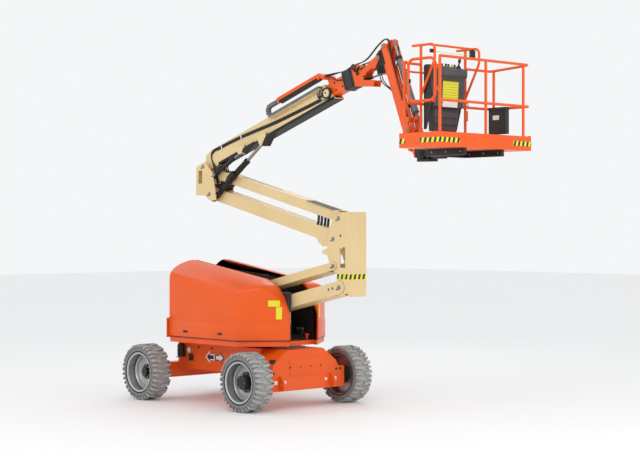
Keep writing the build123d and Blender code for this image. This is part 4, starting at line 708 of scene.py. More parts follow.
class BOOMLIFT_OT_wheels(BoomLiftOperator):
    """Adds the short lugs, bead rings, rim lips, nuts and hub caps of the four wheels"""

    bl_idname = "boomlift.wheels"
    bl_label = "Wheels"

    def shoulder_lug(self, sweep, half):
        """A lug that runs out over one shoulder of a tyre."""
        foot, rings = 0.372, []
        steps = ((0.070, 0.026, 0.417), (0.118, 0.031, 0.421), (0.140, 0.034, 0.417))
        for y, width, top in (*steps, (half - 0.001, 0.036, 0.398)):
            x = sweep * (y - half / 2) / half
            base = [(x - width / 2, y, foot), (x + width / 2, y, foot)]
            rings.append([*base, (x + width * 0.42, y, top), (x - width * 0.42, y, top)])
        return Shape().skin(rings)

    def build(self, colours, sizes):
        bead = [(0.304, 0.145), (0.312, 0.155), (0.320, 0.158)]
        bead += [(0.326, 0.154), (0.326, 0.148), (0.304, 0.140)]
        bead_line = [(0.342, 0.150), (0.345, 0.1565), (0.350, 0.1565), (0.353, 0.150)]
        rim_edge = [(0.280, 0.132), (0.302, 0.138), (0.306, 0.147)]
        rim_edge += [(0.300, 0.152), (0.290, 0.150), (0.284, 0.142)]
        outer_bead = [(0.245, -0.018), (0.252, 0.012), (0.262, 0.020), (0.274, 0.012), (0.278, -0.018)]
        inner_bead = [(0.176, -0.017), (0.182, -0.006), (0.196, -0.002), (0.210, -0.008), (0.216, -0.017)]
        for name in WHEELS:
            body, centre = name + "_wheel", pivot(name + "_spin")
            side = math.copysign(1.0, centre.y)
            out, into = facing(centre, (0, side, 0)), facing(centre, (0, -side, 0))
            low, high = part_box("tyre_" + name)
            wall, lip = Shape(), Shape()
            for label, place, start in (("outer", out, 0.5), ("inner", into, 0.0)):
                lug = self.shoulder_lug(-side * 0.032, (high.y - low.y) / 2)
                look = ("tyre_grey", body, start, "tyre_grey")
                repeat_round(f"{name}_{label}_lugs", lug, place, sizes.lug_count, 0.0, *look)
                wall.lathe(bead, place, 48).lathe(bead_line, place, 48)
                lip.lathe(rim_edge, place, 48)
            add_piece(f"{name}_bead_rings", wall, "tyre_grey", body, smooth=50)
            lip.lathe(outer_bead, out, 48).lathe(inner_bead, out, 48)
            add_piece(f"{name}_rim_lips", lip, "rim_silver", body, smooth=50)

            driven = name.startswith("front")
            nut_circle, nut = 0.124 if driven else 0.094, bolt(0.013, 0.020)
            seat = facing(out @ Vector((0, -0.001, 0)), (0, side, 0))
            repeat_round(f"{name}_nuts", nut, seat, sizes.wheel_nuts, nut_circle, "zinc", body)
            face = max(abs(corner.y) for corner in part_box("hub_" + name)) - abs(centre.y)
            cap, radius, rise = Shape(), 0.092 if driven else 0.056, face - 0.001
            boss = [(0, rise), (0, rise + 0.006), (radius * 0.34, rise + 0.005), (radius * 0.40, rise)]
            flange = [(radius * 0.62, rise), (radius * 0.66, rise + 0.004), (radius * 0.94, rise + 0.003)]
            cap.lathe(boss, out, 32).lathe([*flange, (radius, rise - 0.002)], out, 32)
            add_piece(f"{name}_hub_cap", cap, "black_paint", body, smooth=40)
            seat = facing(centre + Vector((0, side * (face + 0.003), 0)), (0, side, 0))
            hub_bolt = bolt(0.006, 0.006)
            repeat_round(f"{name}_hub_bolts", hub_bolt, seat, 6, radius * 0.8, "zinc", body, 0.5)


class BOOMLIFT_OT_chassis(BoomLiftOperator):
    """Adds the arrows, plates, sounder, tilt sensor, bolts, drive cover and drive hoses of the chassis"""

    bl_idname = "boomlift.chassis"
    bl_label = "Chassis"

    def arrow(self, shape, place, width, height, thickness):
        tip, neck, shaft = width / 2, width * 0.04, height * 0.24
        half = [(tip, 0), (neck, height / 2), (neck, shaft), (-tip, shaft)]
        shape.prism(half + [(x, -z) for x, z in half[:0:-1]], -0.001, thickness, place)

    def build(self, colours, sizes):
        arrows, marks, plates = Shape(), Shape(), Shape()
        for side in SIDES:
            for x, outward in ((-0.30, -1), (-0.08, 1)):
                place = facing((x, side * CHASSIS_SIDE, 0.665), (0, side, 0))
                turned = math.pi if place.col[0].x * outward < 0 else 0.0
                place = place @ Matrix.Rotation(turned, 4, "Y")
                dark, light = (arrows, marks) if outward < 0 else (marks, arrows)
                self.arrow(light, place, 0.225, 0.185, 0.0015)
                self.arrow(dark, place, 0.170, 0.120, 0.0025)
            disc = facing((-0.815, side * CHASSIS_SIDE, 0.745), (0, side, 0))
            marks.plate(disc, 0.085, 0.085, 0.002, 0.041)
            plates.plate(facing((1.29, side * 0.600, 0.70), (0, side * 0.85, 0.42)), 0.12, 0.06, 0.002)
        add_piece("chassis_black_arrows", arrows, "black_sign", "chassis")
        add_piece("chassis_white_arrows", marks, "white_sign", "chassis")
        add_piece("chassis_small_plates", plates, "black_sign", "chassis")

        profile = [(0, 0.002), (0.050, 0.002), (0.050, 0.018)]
        for i in range(8):
            y = 0.022 + i * 0.021
            profile += [(0.058, y), (0.058, y + 0.012), (0.051, y + 0.014), (0.051, y + 0.019)]
        profile += [(0.046, 0.196), (0.030, 0.208), (0, 0.210)]
        sounder = Shape().lathe(profile, facing((-0.935, -0.500, 0.640), UP), 28)
        add_piece("travel_sounder", sounder, "black_plastic", "chassis")
        box = Shape().block((-0.79, -0.470, 0.590), (-0.71, -0.440, 0.690))
        box.block((-0.775, -0.480, 0.610), (-0.725, -0.468, 0.665))
        add_piece("tilt_sensor", box, "black_plastic", "chassis", 0.005)

        studs = []
        for side in SIDES:
            studs += [facing((x, side * CHASSIS_SIDE, 0.800), (0, side, 0)) for x in (-0.58, -0.26)]
        for x in (0.20, 0.35, 0.50, 0.65):
            studs += flanks(x, CHASSIS_SIDE, 0.520)
        for y in (-0.70, -0.62, -0.30, -0.10, 0.10, 0.30, 0.62, 0.70):
            studs.append(facing((1.340, y, 0.53 if abs(y) > 0.4 else 0.60), AHEAD))
        repeat_at("chassis_bolts", bolt(0.013, 0.010), studs, "dark_steel_and_painted_shade", "chassis")
        low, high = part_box("slew_ring")
        circle_radius = (high.x - low.x) / 2 - 0.03
        place = facing((0, 0, low.z), -UP)
        repeat_round("slew_ring_bolts", bolt(0.010, 0.012), place, 28, circle_radius, "zinc", "chassis")

        lashing, front = Shape(), 1.3405
        for side in SIDES:
            lashing.plate(facing((front, side * 0.585, 0.395), AHEAD), 0.055, 0.055, 0.014, 0.008)
            lashing.plate(facing((front, side * 0.405, 0.395), AHEAD), 0.040, 0.040, 0.010, 0.006)
        add_piece("lashing_plates", lashing, "white_sign", "chassis", 0.002)
        cover = Shape().plate(facing((front, 0.0, 0.600), AHEAD), 0.62, 0.26, 0.006, 0.03)
        add_piece("drive_cover", cover, "orange", "chassis", 0.002)
        route = (
            (0.862, 0.300, 0.620), (0.780, 0.330, 0.600), (0.740, 0.480, 0.540), (0.800, 0.620, 0.500),
            (0.870, 0.640, 0.480),
        )
        routes = [[(x, side * y, z + rise) for x, y, z in route] for side in SIDES for rise in (0.0, 0.045)]
        add_hoses("drive_hoses", routes, sizes.hose, "hose", "chassis")


class BOOMLIFT_OT_hoods(BoomLiftOperator):
    """Rounds the hoods and adds their lower bands, swept ridges, seams, latches and blank plates"""

    bl_idname = "boomlift.hoods"
    bl_label = "Hoods"
    flank, corner_x, nose_y, tail_radius = 0.874, 0.83, 0.276, 1.147

    def plan(self, side):
        """The hood's outer line from tail to nose, seen from above."""
        low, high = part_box("hood_right")
        wide = abs(low.y)
        turns = [math.radians(turn) for turn in (164, 156, 148, 140, 132)]
        tail = [Vector((math.cos(turn), math.sin(turn))) * self.tail_radius for turn in turns]
        line = [point for point in tail if point.y < wide]
        line += [Vector(point) for point in ((-0.742, wide), (self.corner_x, wide), (high.x, self.nose_y))]
        return [(point.x, side * point.y) for point in line]

    def ridge(self, side):
        """The pressed line that sweeps down the hood's side."""
        sweep = [
            (-0.70, 1.856), (-0.56, 1.850), (-0.48, 1.818), (-0.43, 1.730), (-0.30, 1.610), (-0.08, 1.506),
            (0.135, 1.434), (0.382, 1.376), (0.642, 1.324), (0.76, 1.306),
        ]
        section = (
            (-0.026, -0.002), (-0.010, 0.004), (0.0, 0.007), (0.012, 0.0065), (0.030, 0.003), (0.055, -0.002),
        )
        rings = []
        for i, (x, z) in enumerate(sweep):
            run, rise = run_between(sweep, i), 0.25 if i in (0, len(sweep) - 1) else 1.0
            rings.append([(x - run.y * w, side * h * rise, z + run.x * w) for w, h in section])
        return Shape().skin(rings, Matrix.Translation((0, side * self.flank, 0)))

    def build(self, colours, sizes):
        for name, side in (("left", 1), ("right", -1)):
            body = name + "_hood"
            soften("hood_" + name, "orange", sizes.hood_edge, 0.004)
            line = self.plan(side)
            start = next(i for i, point in enumerate(line) if point[0] > -0.745)
            band = Shape().ribbon(line[start:], 0.992, 1.236, 0.006 * -side)
            add_piece(f"hood_{name}_band", band, "orange", body, 0.002, smooth=30)
            seal = Shape().ribbon(line[start:], 0.974, 0.988, 0.003 * -side)
            add_piece(f"hood_{name}_seal", seal, "black_plastic", body, smooth=30)
            seam = Shape().ribbon(line[: start + 1], 1.764, 1.771, 0.0015 * -side)
            add_piece(f"hood_{name}_seam", seam, "dark_steel_and_painted_shade", body, smooth=30)
            add_piece(f"hood_{name}_ridge", self.ridge(side), "orange", body, smooth=60)

            corner = Vector((self.corner_x, side * self.flank, 0))
            nose = Vector((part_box("hood_right")[1].x, side * self.nose_y, 0))
            face = (nose - corner).normalized()
            plates, left = Shape(), ((0.80, 1.415, 0.10, 0.23),)
            right = ((0.697, 1.522, 0.172, 0.088), (0.792, 1.383, 0.086, 0.178))
            for share, z, width, height in left if side > 0 else right:
                spot = corner + (nose - corner) * share + Vector((0, 0, z))
                plates.plate(facing(spot, (abs(face.y), side * face.x, 0)), width, height)
            add_piece(f"hood_{name}_plates", plates, "yellow_sign", body)
            latches = Shape()
            for x in (-0.35, 0.45):
                latches.plate(facing((x, side * 0.880, 1.070), (0, side, 0)), 0.100, 0.036, 0.008, 0.010)
            add_piece(f"hood_{name}_latches", latches, "black_plastic", body, 0.003)


class BOOMLIFT_OT_turntable(BoomLiftOperator):
    """Adds the valve blocks, filler cap and hoses between the hoods, the ground panel and the rivets"""

    bl_idname = "boomlift.turntable"
    bl_label = "Turntable"

    def build(self, colours, sizes):
        blocks, ends = Shape(), []
        valves = ((0.60, -0.222, 1.010), (0.60, 0.222, 1.010), (0.98, 0.222, 1.040), (0.98, -0.222, 1.010))
        for x, y, z in valves:
            blocks.block((x - 0.085, y - 0.045, 0.965), (x + 0.085, y + 0.045, z + 0.045))
            for dx in (-0.055, 0.0, 0.055):
                blocks.rod((x + dx, y, z + 0.04), (x + dx, y, z + 0.085), 0.017, 12)
                ends.append(facing((x + dx, y, z + 0.085), UP))
        add_piece("valve_blocks", blocks, "dark_steel_and_painted_shade", "turntable", 0.004)
        repeat_at("valve_ends", bolt(0.014, 0.018), ends, "zinc", "turntable")
        profile = [(0, 0), (0.030, 0), (0.032, 0.018), (0.026, 0.030), (0, 0.032)]
        cap = Shape().lathe(profile, facing((1.13, 0.222, 1.03), UP), 20)
        cap.rod((1.13, 0.222, 0.965), (1.13, 0.222, 1.03), 0.020)
        add_piece("filler_cap", cap, "red_plastic", "turntable", 0.002)

        routes = []
        for i in range(7):
            y = -0.190 + i * 0.060
            start = [(0.30 + 0.03 * i, y, 0.980), (0.48, y * 0.8, 1.015 + 0.01 * (i % 3))]
            middle = [(0.76, y * 1.05, 1.040 - 0.012 * (i % 2)), (1.00, y * 0.9, 1.030 + 0.01 * (i % 2))]
            routes.append([*start, *middle, (1.15, y * 0.9, 1.010), (1.20, y, 0.980)])
        add_hoses("turntable_hoses", routes, sizes.hose, "hose", "turntable")

        low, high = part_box("ground_control_box")
        middle = (low + high) / 2
        plates = Shape().plate(facing((high.x, middle.y, middle.z - 0.01), AHEAD), 0.036, 0.16, 0.002, 0.004)
        plates.plate(facing((middle.x, low.y, middle.z), RIGHT), 0.10, 0.15)
        add_piece("ground_panel_plates", plates, "white_sign", "turntable")
        lid, back = Shape(), high.y + 0.012
        lid.block((low.x + 0.008, high.y, low.z + 0.010), (high.x - 0.008, back, high.z - 0.010))
        corner = (high.x + 0.006, high.y + 0.004, high.z + 0.012)
        lid.block((low.x - 0.004, low.y - 0.002, high.z - 0.002), corner)
        add_piece("ground_panel_lid", lid, "console_plastic", "turntable", 0.003)
        x, z = middle.x - 0.03, middle.z + 0.06
        stop = Shape().rod((x, high.y + 0.010, z), (x, high.y + 0.034, z), 0.020)
        add_piece("ground_stop_button", stop, "red_plastic", "turntable", 0.003)
        spots = [(middle.x + x, back, middle.z + z) for x in (-0.04, 0.0, 0.04) for z in (-0.06, -0.01)]
        switches = [facing(spot, ACROSS) for spot in spots]
        repeat_at("ground_panel_switches", bolt(0.009, 0.022), switches, "black_plastic", "turntable")

        rivets = []
        for side in SIDES:
            rivets += [facing((-0.90 + i * 0.17, side * 0.282, 1.16), (0, -side, 0)) for i in range(12)]
        rivets += [facing((x, 0.282, 1.900), RIGHT) for x in (0.10, 0.145, 0.19, 0.34)]
        repeat_at("liner_rivets", bolt(0.007, 0.004), rivets, "zinc", "turntable")


class BOOMLIFT_OT_tower(BoomLiftOperator):
    """Adds the pins, screws, hazard band and hoses of the tower, and painted shade for its top slots"""

    bl_idname = "boomlift.tower"
    bl_label = "Tower"

    def pin_ends(self, points, inner, outer):
        ends = []
        for point in points:
            ends += [facing((point.x, inner, point.z), RIGHT), facing((point.x, outer, point.z), ACROSS)]
        return ends

    def build(self, colours, sizes):
        low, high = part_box("mid_upright")
        vertices = frame["nodes"]["mid_upright"].data.vertices
        front = [vertex.co.y for vertex in vertices if vertex.co.x > high.x - 0.002]
        near, far, length = min(front), max(front), ARM_SPAN.length
        rear_pins = (pivot("mid_upright_turn"), LOWER_LINK @ Vector((length, 0, 0)))
        front_pins = (pivot("upper_arm_turn"), pivot("upper_link_turn"))
        ends = self.pin_ends(rear_pins, low.y, high.y) + self.pin_ends(front_pins, near, far)
        repeat_at("mid_upright_pins", pin_head(0.030), ends, "zinc", "tower_mid_upright")
        top_pins = (pivot("main_boom_lift"), pivot("upper_upright_turn"), UPPER_LINK.translation)
        ends = self.pin_ends(top_pins, *[corner.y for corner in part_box("upper_upright")])
        repeat_at("upper_upright_pins", pin_head(0.028), ends, "zinc", "tower_upper_upright")
        screws = []
        for along in (-0.215, -0.135):
            for side in SIDES:
                spot = LOWER_LINK @ Vector((length + along, side * 0.172, 0.012))
                screws.append(facing(spot, (0, side, 0)))
        repeat_at("lower_link_screws", bolt(0.014, 0.010), screws, "zinc", "tower_lower_link")
        screws = [facing((high.x, y, z), AHEAD) for y in (-0.10, 0.04) for z in (2.067, 2.475)]
        repeat_at("mid_upright_screws", bolt(0.008, 0.004), screws, "cream", "tower_mid_upright")

        band, thickness, bottom, top = Shape(), 0.0016, 1.893, 1.963
        for side, y in ((-1, near), (1, far)):
            band.block((high.x - 0.271, y, bottom), (high.x, y + side * thickness, top))
        band.block((high.x - 0.001, near, bottom), (high.x + thickness, far, top))
        add_piece("mid_upright_hazard_band", band, "hazard_tape", "tower_mid_upright")

        knee, bridge, inside = [], [], []
        line = [(2.340, 1.2, 2.600), (2.365, 1.6, 2.420), (2.370, 1.6, 2.200), (2.360, 1.6, 1.980)]
        line.append((2.30, 1.4, 1.800))
        for i in range(5):
            y = -0.050 + i * 0.040
            knee.append([(x, y * spread, z) for x, spread, z in line])
        add_hoses("tower_knee_hoses", knee, sizes.hose, "hose", "tower_mid_upright")
        for i, step in enumerate((0.030, 0.066, 0.108, 0.142)):
            y, back, bulge = -0.050 + 0.030 * i, length - 0.545 + step, Vector((0.008, 0, 0))
            top, foot = UPPER_ARM @ Vector((back, y, -0.060)), UPPER_LINK @ Vector((back + 0.055, y, 0.080))
            bridge.append([top, top.lerp(foot, 0.3) + bulge, top.lerp(foot, 0.7) + bulge, foot])
        add_hoses("tower_bridge_hoses", bridge, 0.0185, "hose", "tower_upper_arm")
        for i in range(6):
            y, drop = -0.055 + 0.020 * i, 0.018 * (i % 3)
            start = [(-0.68, y, 3.290 - drop), (-0.58, y, 3.275 - drop), (-0.46, y + 0.01, 3.250 - drop)]
            end = [(-0.385 - drop, y, 3.225 - drop), (-0.33, y, 3.255), (-0.25, y, 3.300), (-0.17, y, 3.330)]
            inside.append(start + end)
        bodies = ("tower_upper_upright", "tower_upper_arm", (-0.60, 0, 3.28), (-0.32, 0, 3.26))
        add_hoses("upper_knee_hoses", inside, 0.0125, "hose", None, bodies)

        # dark strips on the upper arm's top, painted shade standing for its open slots
        slots, end = Shape(), UPPER_SPAN.length
        wide = [(end - 0.80, 0.0725), (end - 0.19, 0.0725), (end - 0.22, 0.0745), (end - 0.78, 0.0745)]
        slots.prism(wide, -0.092, 0.092, UPPER_ARM)
        slots.prism([(0.42, 0.0725), (1.35, 0.0725), (1.33, 0.0738), (0.44, 0.0738)], 0.030, 0.046, UPPER_ARM)
        add_piece("upper_arm_slots", slots, "dark_steel_and_painted_shade", "tower_upper_arm")


class BOOMLIFT_OT_cylinders(BoomLiftOperator):
    """Adds the glands, end welds, ports and feed pipes of the hydraulic cylinders"""

    bl_idname = "boomlift.cylinders"
    bl_label = "Cylinders"

    def build(self, colours, sizes):
        for name in ("tower", "lift", "level", "jib"):
            body = name + "_cylinder"
            place = side_place(pivot(body + "_turn"), JOINTS[name + "_rod_slide"]["axis"])
            inward = place.inverted()
            points = [inward @ vertex.co for vertex in frame["nodes"][name + "_barrel"].data.vertices]
            end = max(point.x for point in points)
            radius = max(abs(point.y) for point in points if point.x > 0.9 * end)
            axle, grip = facing(place.translation, place.to_3x3().col[0]), radius + 0.0035
            profile = [(radius - 0.004, end - 0.052), (grip, end - 0.050), (grip, end - 0.030)]
            profile += [(radius + 0.001, end - 0.027), (grip, end - 0.024), (grip, end - 0.002)]
            gland = Shape().lathe([*profile, (radius - 0.004, end + 0.001)], axle, 36)
            weld = ((-0.004, 0.075), (0.003, 0.079), (0.003, 0.088), (-0.004, 0.092))
            gland.lathe([(radius + out, x) for out, x in weld], axle, 36)
            add_piece(name + "_gland", gland, "black_paint", body, smooth=30)

            ports, first, last, rise = Shape(), 0.135, end - 0.085, radius + 0.016
            if name == "lift":
                place = place @ Matrix.Rotation(math.radians(90), 4, "X")
            sink = radius - 0.006
            for x in (first, last):
                ports.block((x - 0.017, -0.014, sink), (x + 0.017, 0.014, rise), place)
            ports.block((first + 0.050, -0.026, sink), (first + 0.130, 0.026, rise + 0.012), place)
            if name == "lift":
                ports.block((0.500, -0.040, radius - 0.030), (0.665, 0.040, radius + 0.034), place)
                ports.block((0.445, -0.028, radius - 0.010), (0.500, 0.028, radius + 0.022), place)
            add_piece(name + "_ports", ports, "dark_steel_and_painted_shade", body, 0.003)
            tops = ((first, rise), (last, rise), (first + 0.072, rise + 0.012), (first + 0.108, rise + 0.012))
            nuts = [place @ facing((x, 0, z), UP) for x, z in tops]
            repeat_at(name + "_port_nuts", bolt(0.009, 0.010), nuts, "zinc", body)
            bends = [(first + 0.125, 0.012), (first + 0.170, 0.012), (last - 0.06, 0.010)]
            pipe = [place @ Vector((x, y, rise - 0.002)) for x, y in (*bends, (last - 0.010, 0.006))]
            add_hoses(name + "_feed_pipe", [pipe], 0.0065, "dark_steel_and_painted_shade", body)


class BOOMLIFT_OT_boom(BoomLiftOperator):
    """Adds the boom's side hoses and clips, end roller, dark sheets of painted shade and the hoses over its
    pivot
    """

    bl_idname = "boomlift.boom"
    bl_label = "Main boom"

    def side_hoses(self, hose):
        side = -BOOM_SIDE - hose * 0.8
        line = [(0.30, 0.176), (0.60, 0.166), (0.90, 0.150), (1.30, 0.112)]
        line += [(1.70, 0.072), (2.20, 0.046), (2.70, 0.024)]
        # a dark strip behind the side hoses, painted shade of the recess they run in
        recess_shade = Shape().strip(line, 0.052, -BOOM_SIDE - 0.001, -BOOM_SIDE + 0.004, BOOM)
        add_piece("boom_side_channel", recess_shade, "dark_steel_and_painted_shade", "boom")
        run, over, root = [], [], []
        for i in range(3):
            n, x = 0.016 - i * 0.016, -0.62 + 0.026 * i
            places = [(s, side, m + n) for s, m in ((0.16, 0.150), (0.22, 0.186), *line)]
            route = along_boom(*places)
            run.append(route)
            rise = [(x + 0.03, -0.062, 3.30), (x, -0.080, 3.40), (x - 0.01, side, 3.56)]
            over.append([*rise, *along_boom((0.13, side, 0.06 + n), (0.14, side, 0.120 + n)), route[0]])
        add_hoses("boom_side_hoses", run, hose * 0.8, "hose", "boom")
        bodies = ("tower_upper_upright", "boom", (-0.64, 0, 3.44), (-0.66, 0, 3.66))
        add_hoses("boom_pivot_hoses", over, hose * 0.8, "hose", None, bodies)
        clips = Shape()
        for s, n in ((0.42, 0.172), (0.90, 0.150)):
            corner = (s + 0.008, -BOOM_SIDE + 0.001, n + 0.034)
            clips.block((s - 0.008, side - hose - 0.002, n - 0.034), corner, BOOM)
        add_piece("boom_hose_clips", clips, "white_sign", "boom", 0.003)
        for i in range(4):
            y = -0.045 + i * 0.035
            rise = [(-0.80, 3.17), (-0.66, 3.20), (-0.52, 3.27 + 0.02 * i), (-0.47 + 0.012 * i, 3.42)]
            end = along_boom((0.27, y, -0.085), (0.36, y, -0.040), (0.52, y, -0.030))
            root.append([(x, y, z) for x, z in rise] + end)
        bodies = ("tower_upper_upright", "boom", (-0.50, 0, 3.38), (-0.50, 0, 3.60))
        add_hoses("boom_root_hoses", root, hose, "hose", None, bodies)

    def painted_shade_sheets(self):
        # dark sheets painted as the shade along the boom's lower side and on its underside
        shade_band, bottom, near = Shape(), -0.0585, -BOOM_SIDE - 0.002
        for start, end, top in ((1.52, 2.97, -0.020), (0.26, 0.76, -0.024), (1.02, 1.28, -0.032)):
            shade_band.block((start, near, bottom), (end, -BOOM_SIDE + 0.001, top), BOOM)
        shade_band.block((0.26, near, -0.061), (2.97, -near, -0.0575), BOOM)
        add_piece("boom_lower_lining", shade_band, "dark_steel_and_painted_shade", "boom")
        # dark sheets painted as the shade inside the lift and level brackets
        inward, bracket_shade = BOOM.inverted(), Shape()
        vertices = frame["nodes"]["main_boom"].data.vertices
        face = min(vertex.co.y for vertex in vertices if (inward @ vertex.co).z < -0.12)
        front = [(1.362, -0.167), (1.440, -0.105), (1.523, -0.047), (1.723, -0.073), (1.740, -0.110)]
        rear = [(0.910, -0.100), (0.960, -0.052), (1.235, -0.048), (1.233, -0.098), (1.136, -0.112)]
        for outline in (front + [(1.546, -0.247), (1.386, -0.186)], rear + [(1.021, -0.181)]):
            bracket_shade.prism(outline, face - 0.003, face + 0.002, BOOM)
        add_piece("bracket_linings", bracket_shade, "dark_steel_and_painted_shade", "boom", 0.003)

    def end_roller(self, hose):
        hub, side = BOOM @ facing((2.862, -BOOM_SIDE, 0.064), RIGHT), -BOOM_SIDE
        profile = [(0, 0), (0.058, 0), (0.060, 0.036), (0.050, 0.044), (0.020, 0.046), (0.018, 0.052)]
        add_piece("end_roller", Shape().lathe([*profile, (0, 0.052)], hub, 32), "cream", "boom", 0.002)
        profile = [(0.062, 0.0), (0.084, 0.0), (0.086, 0.034), (0.080, 0.041), (0.066, 0.041), (0.062, 0.034)]
        guard, fittings = Shape().lathe(profile, hub, 40), ((2.700, 0.100), (2.735, 0.092), (2.768, 0.082))
        for s, n in fittings:
            guard.block((s - 0.012, side - 0.050, n - 0.030), (s + 0.012, side, n + 0.022), BOOM)
        guard.block((2.676, side - 0.030, 0.056), (2.800, side, 0.074), BOOM)
        add_piece("end_roller_guard", guard, "black_plastic", "boom", 0.002)
        spots = [(s, side - 0.050, n - 0.004) for s, n in fittings] + [(2.862, side - 0.050, 0.064)]
        nuts = [BOOM @ facing(spot, RIGHT) for spot in spots]
        repeat_at("end_roller_nuts", bolt(0.010, 0.010), nuts, "zinc", "boom")
        under = ((2.70, 0.045, 0.075), (2.72, 0.055, 0.020), (2.80, 0.055, -0.030), (2.90, 0.055, -0.026))
        under += ((2.955, 0.050, 0.030), (2.950, 0.045, 0.110))
        over = ((2.735, 0.045, 0.100), (2.760, 0.055, 0.128), (2.830, 0.050, 0.134), (2.90, 0.045, 0.126))
        loops = [along_boom(*[(s, side - off, n) for s, off, n in loop]) for loop in (under, over)]
        add_hoses("end_roller_hoses", loops, hose * 0.7, "hose", "boom")

    def build(self, colours, sizes):
        self.side_hoses(sizes.hose)
        self.painted_shade_sheets()
        self.end_roller(sizes.hose)


class BOOMLIFT_OT_carrier(BoomLiftOperator):
    """Replaces the cable carrier with its links and adds dark strips of painted shade on the trough"""

    bl_idname = "boomlift.carrier"
    bl_label = "Cable carrier"

    def link(self, width):
        """One link of the carrier: two side plates, two cross bars and a pin."""
        shape, half = Shape(), width / 2
        quarter = [(-0.0275, -0.020), (-0.022, -0.027), (0.022, -0.027), (0.0275, -0.020)]
        outline = quarter + [(x, -z) for x, z in reversed(quarter)]
        for y in (-half, half - 0.006):
            shape.prism(outline, y, y + 0.006)
        for z in (-0.026, 0.021):
            shape.block((-0.012, -half, z), (0.012, half, z + 0.005))
        return shape.block((-0.003, -half - 0.002, -0.010), (0.003, -half, 0.010))

    def build(self, colours, sizes):
        low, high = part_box("cable_carrier")
        # dark strips painted as the shade on the trough's near side and along its bottom
        strip = Shape().block((1.935, -0.1735, 0.284), (2.800, -0.171, 0.322), BOOM)
        strip.block((1.935, -0.172, 0.2835), (2.800, -0.086, 0.2855), BOOM)
        add_piece("trough_wear_strip", strip, "dark_steel_and_painted_shade", "fly")
        bend, rise, radius = 1.705, 0.256, 0.0755
        turns = [math.radians(-90 - 15 * i) for i in range(13)]
        points = [(bend + radius * math.cos(turn), rise + radius * math.sin(turn)) for turn in turns]
        points = [(2.755, rise - radius), *points, (2.675, rise + radius)]
        curve = bpy.data.curves.new("carrier_path", "CURVE")
        curve.dimensions = "3D"
        spline = curve.splines.new("POLY")
        spline.points.add(len(points) - 1)
        for point, (along, height) in zip(spline.points, points):
            point.co = (along, 0, height, 1)
        place = BOOM @ Matrix.Translation((0, (low.y + high.y) / 2, 0))
        link, count = self.link(high.y - low.y), {"Count": sizes.link_count}
        chain = run_tree("carrier_links", "Items along a path", curve, link, "chain_grey", count, place)
        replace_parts(settle(chain, "chain_grey", "carrier"), "cable_carrier")


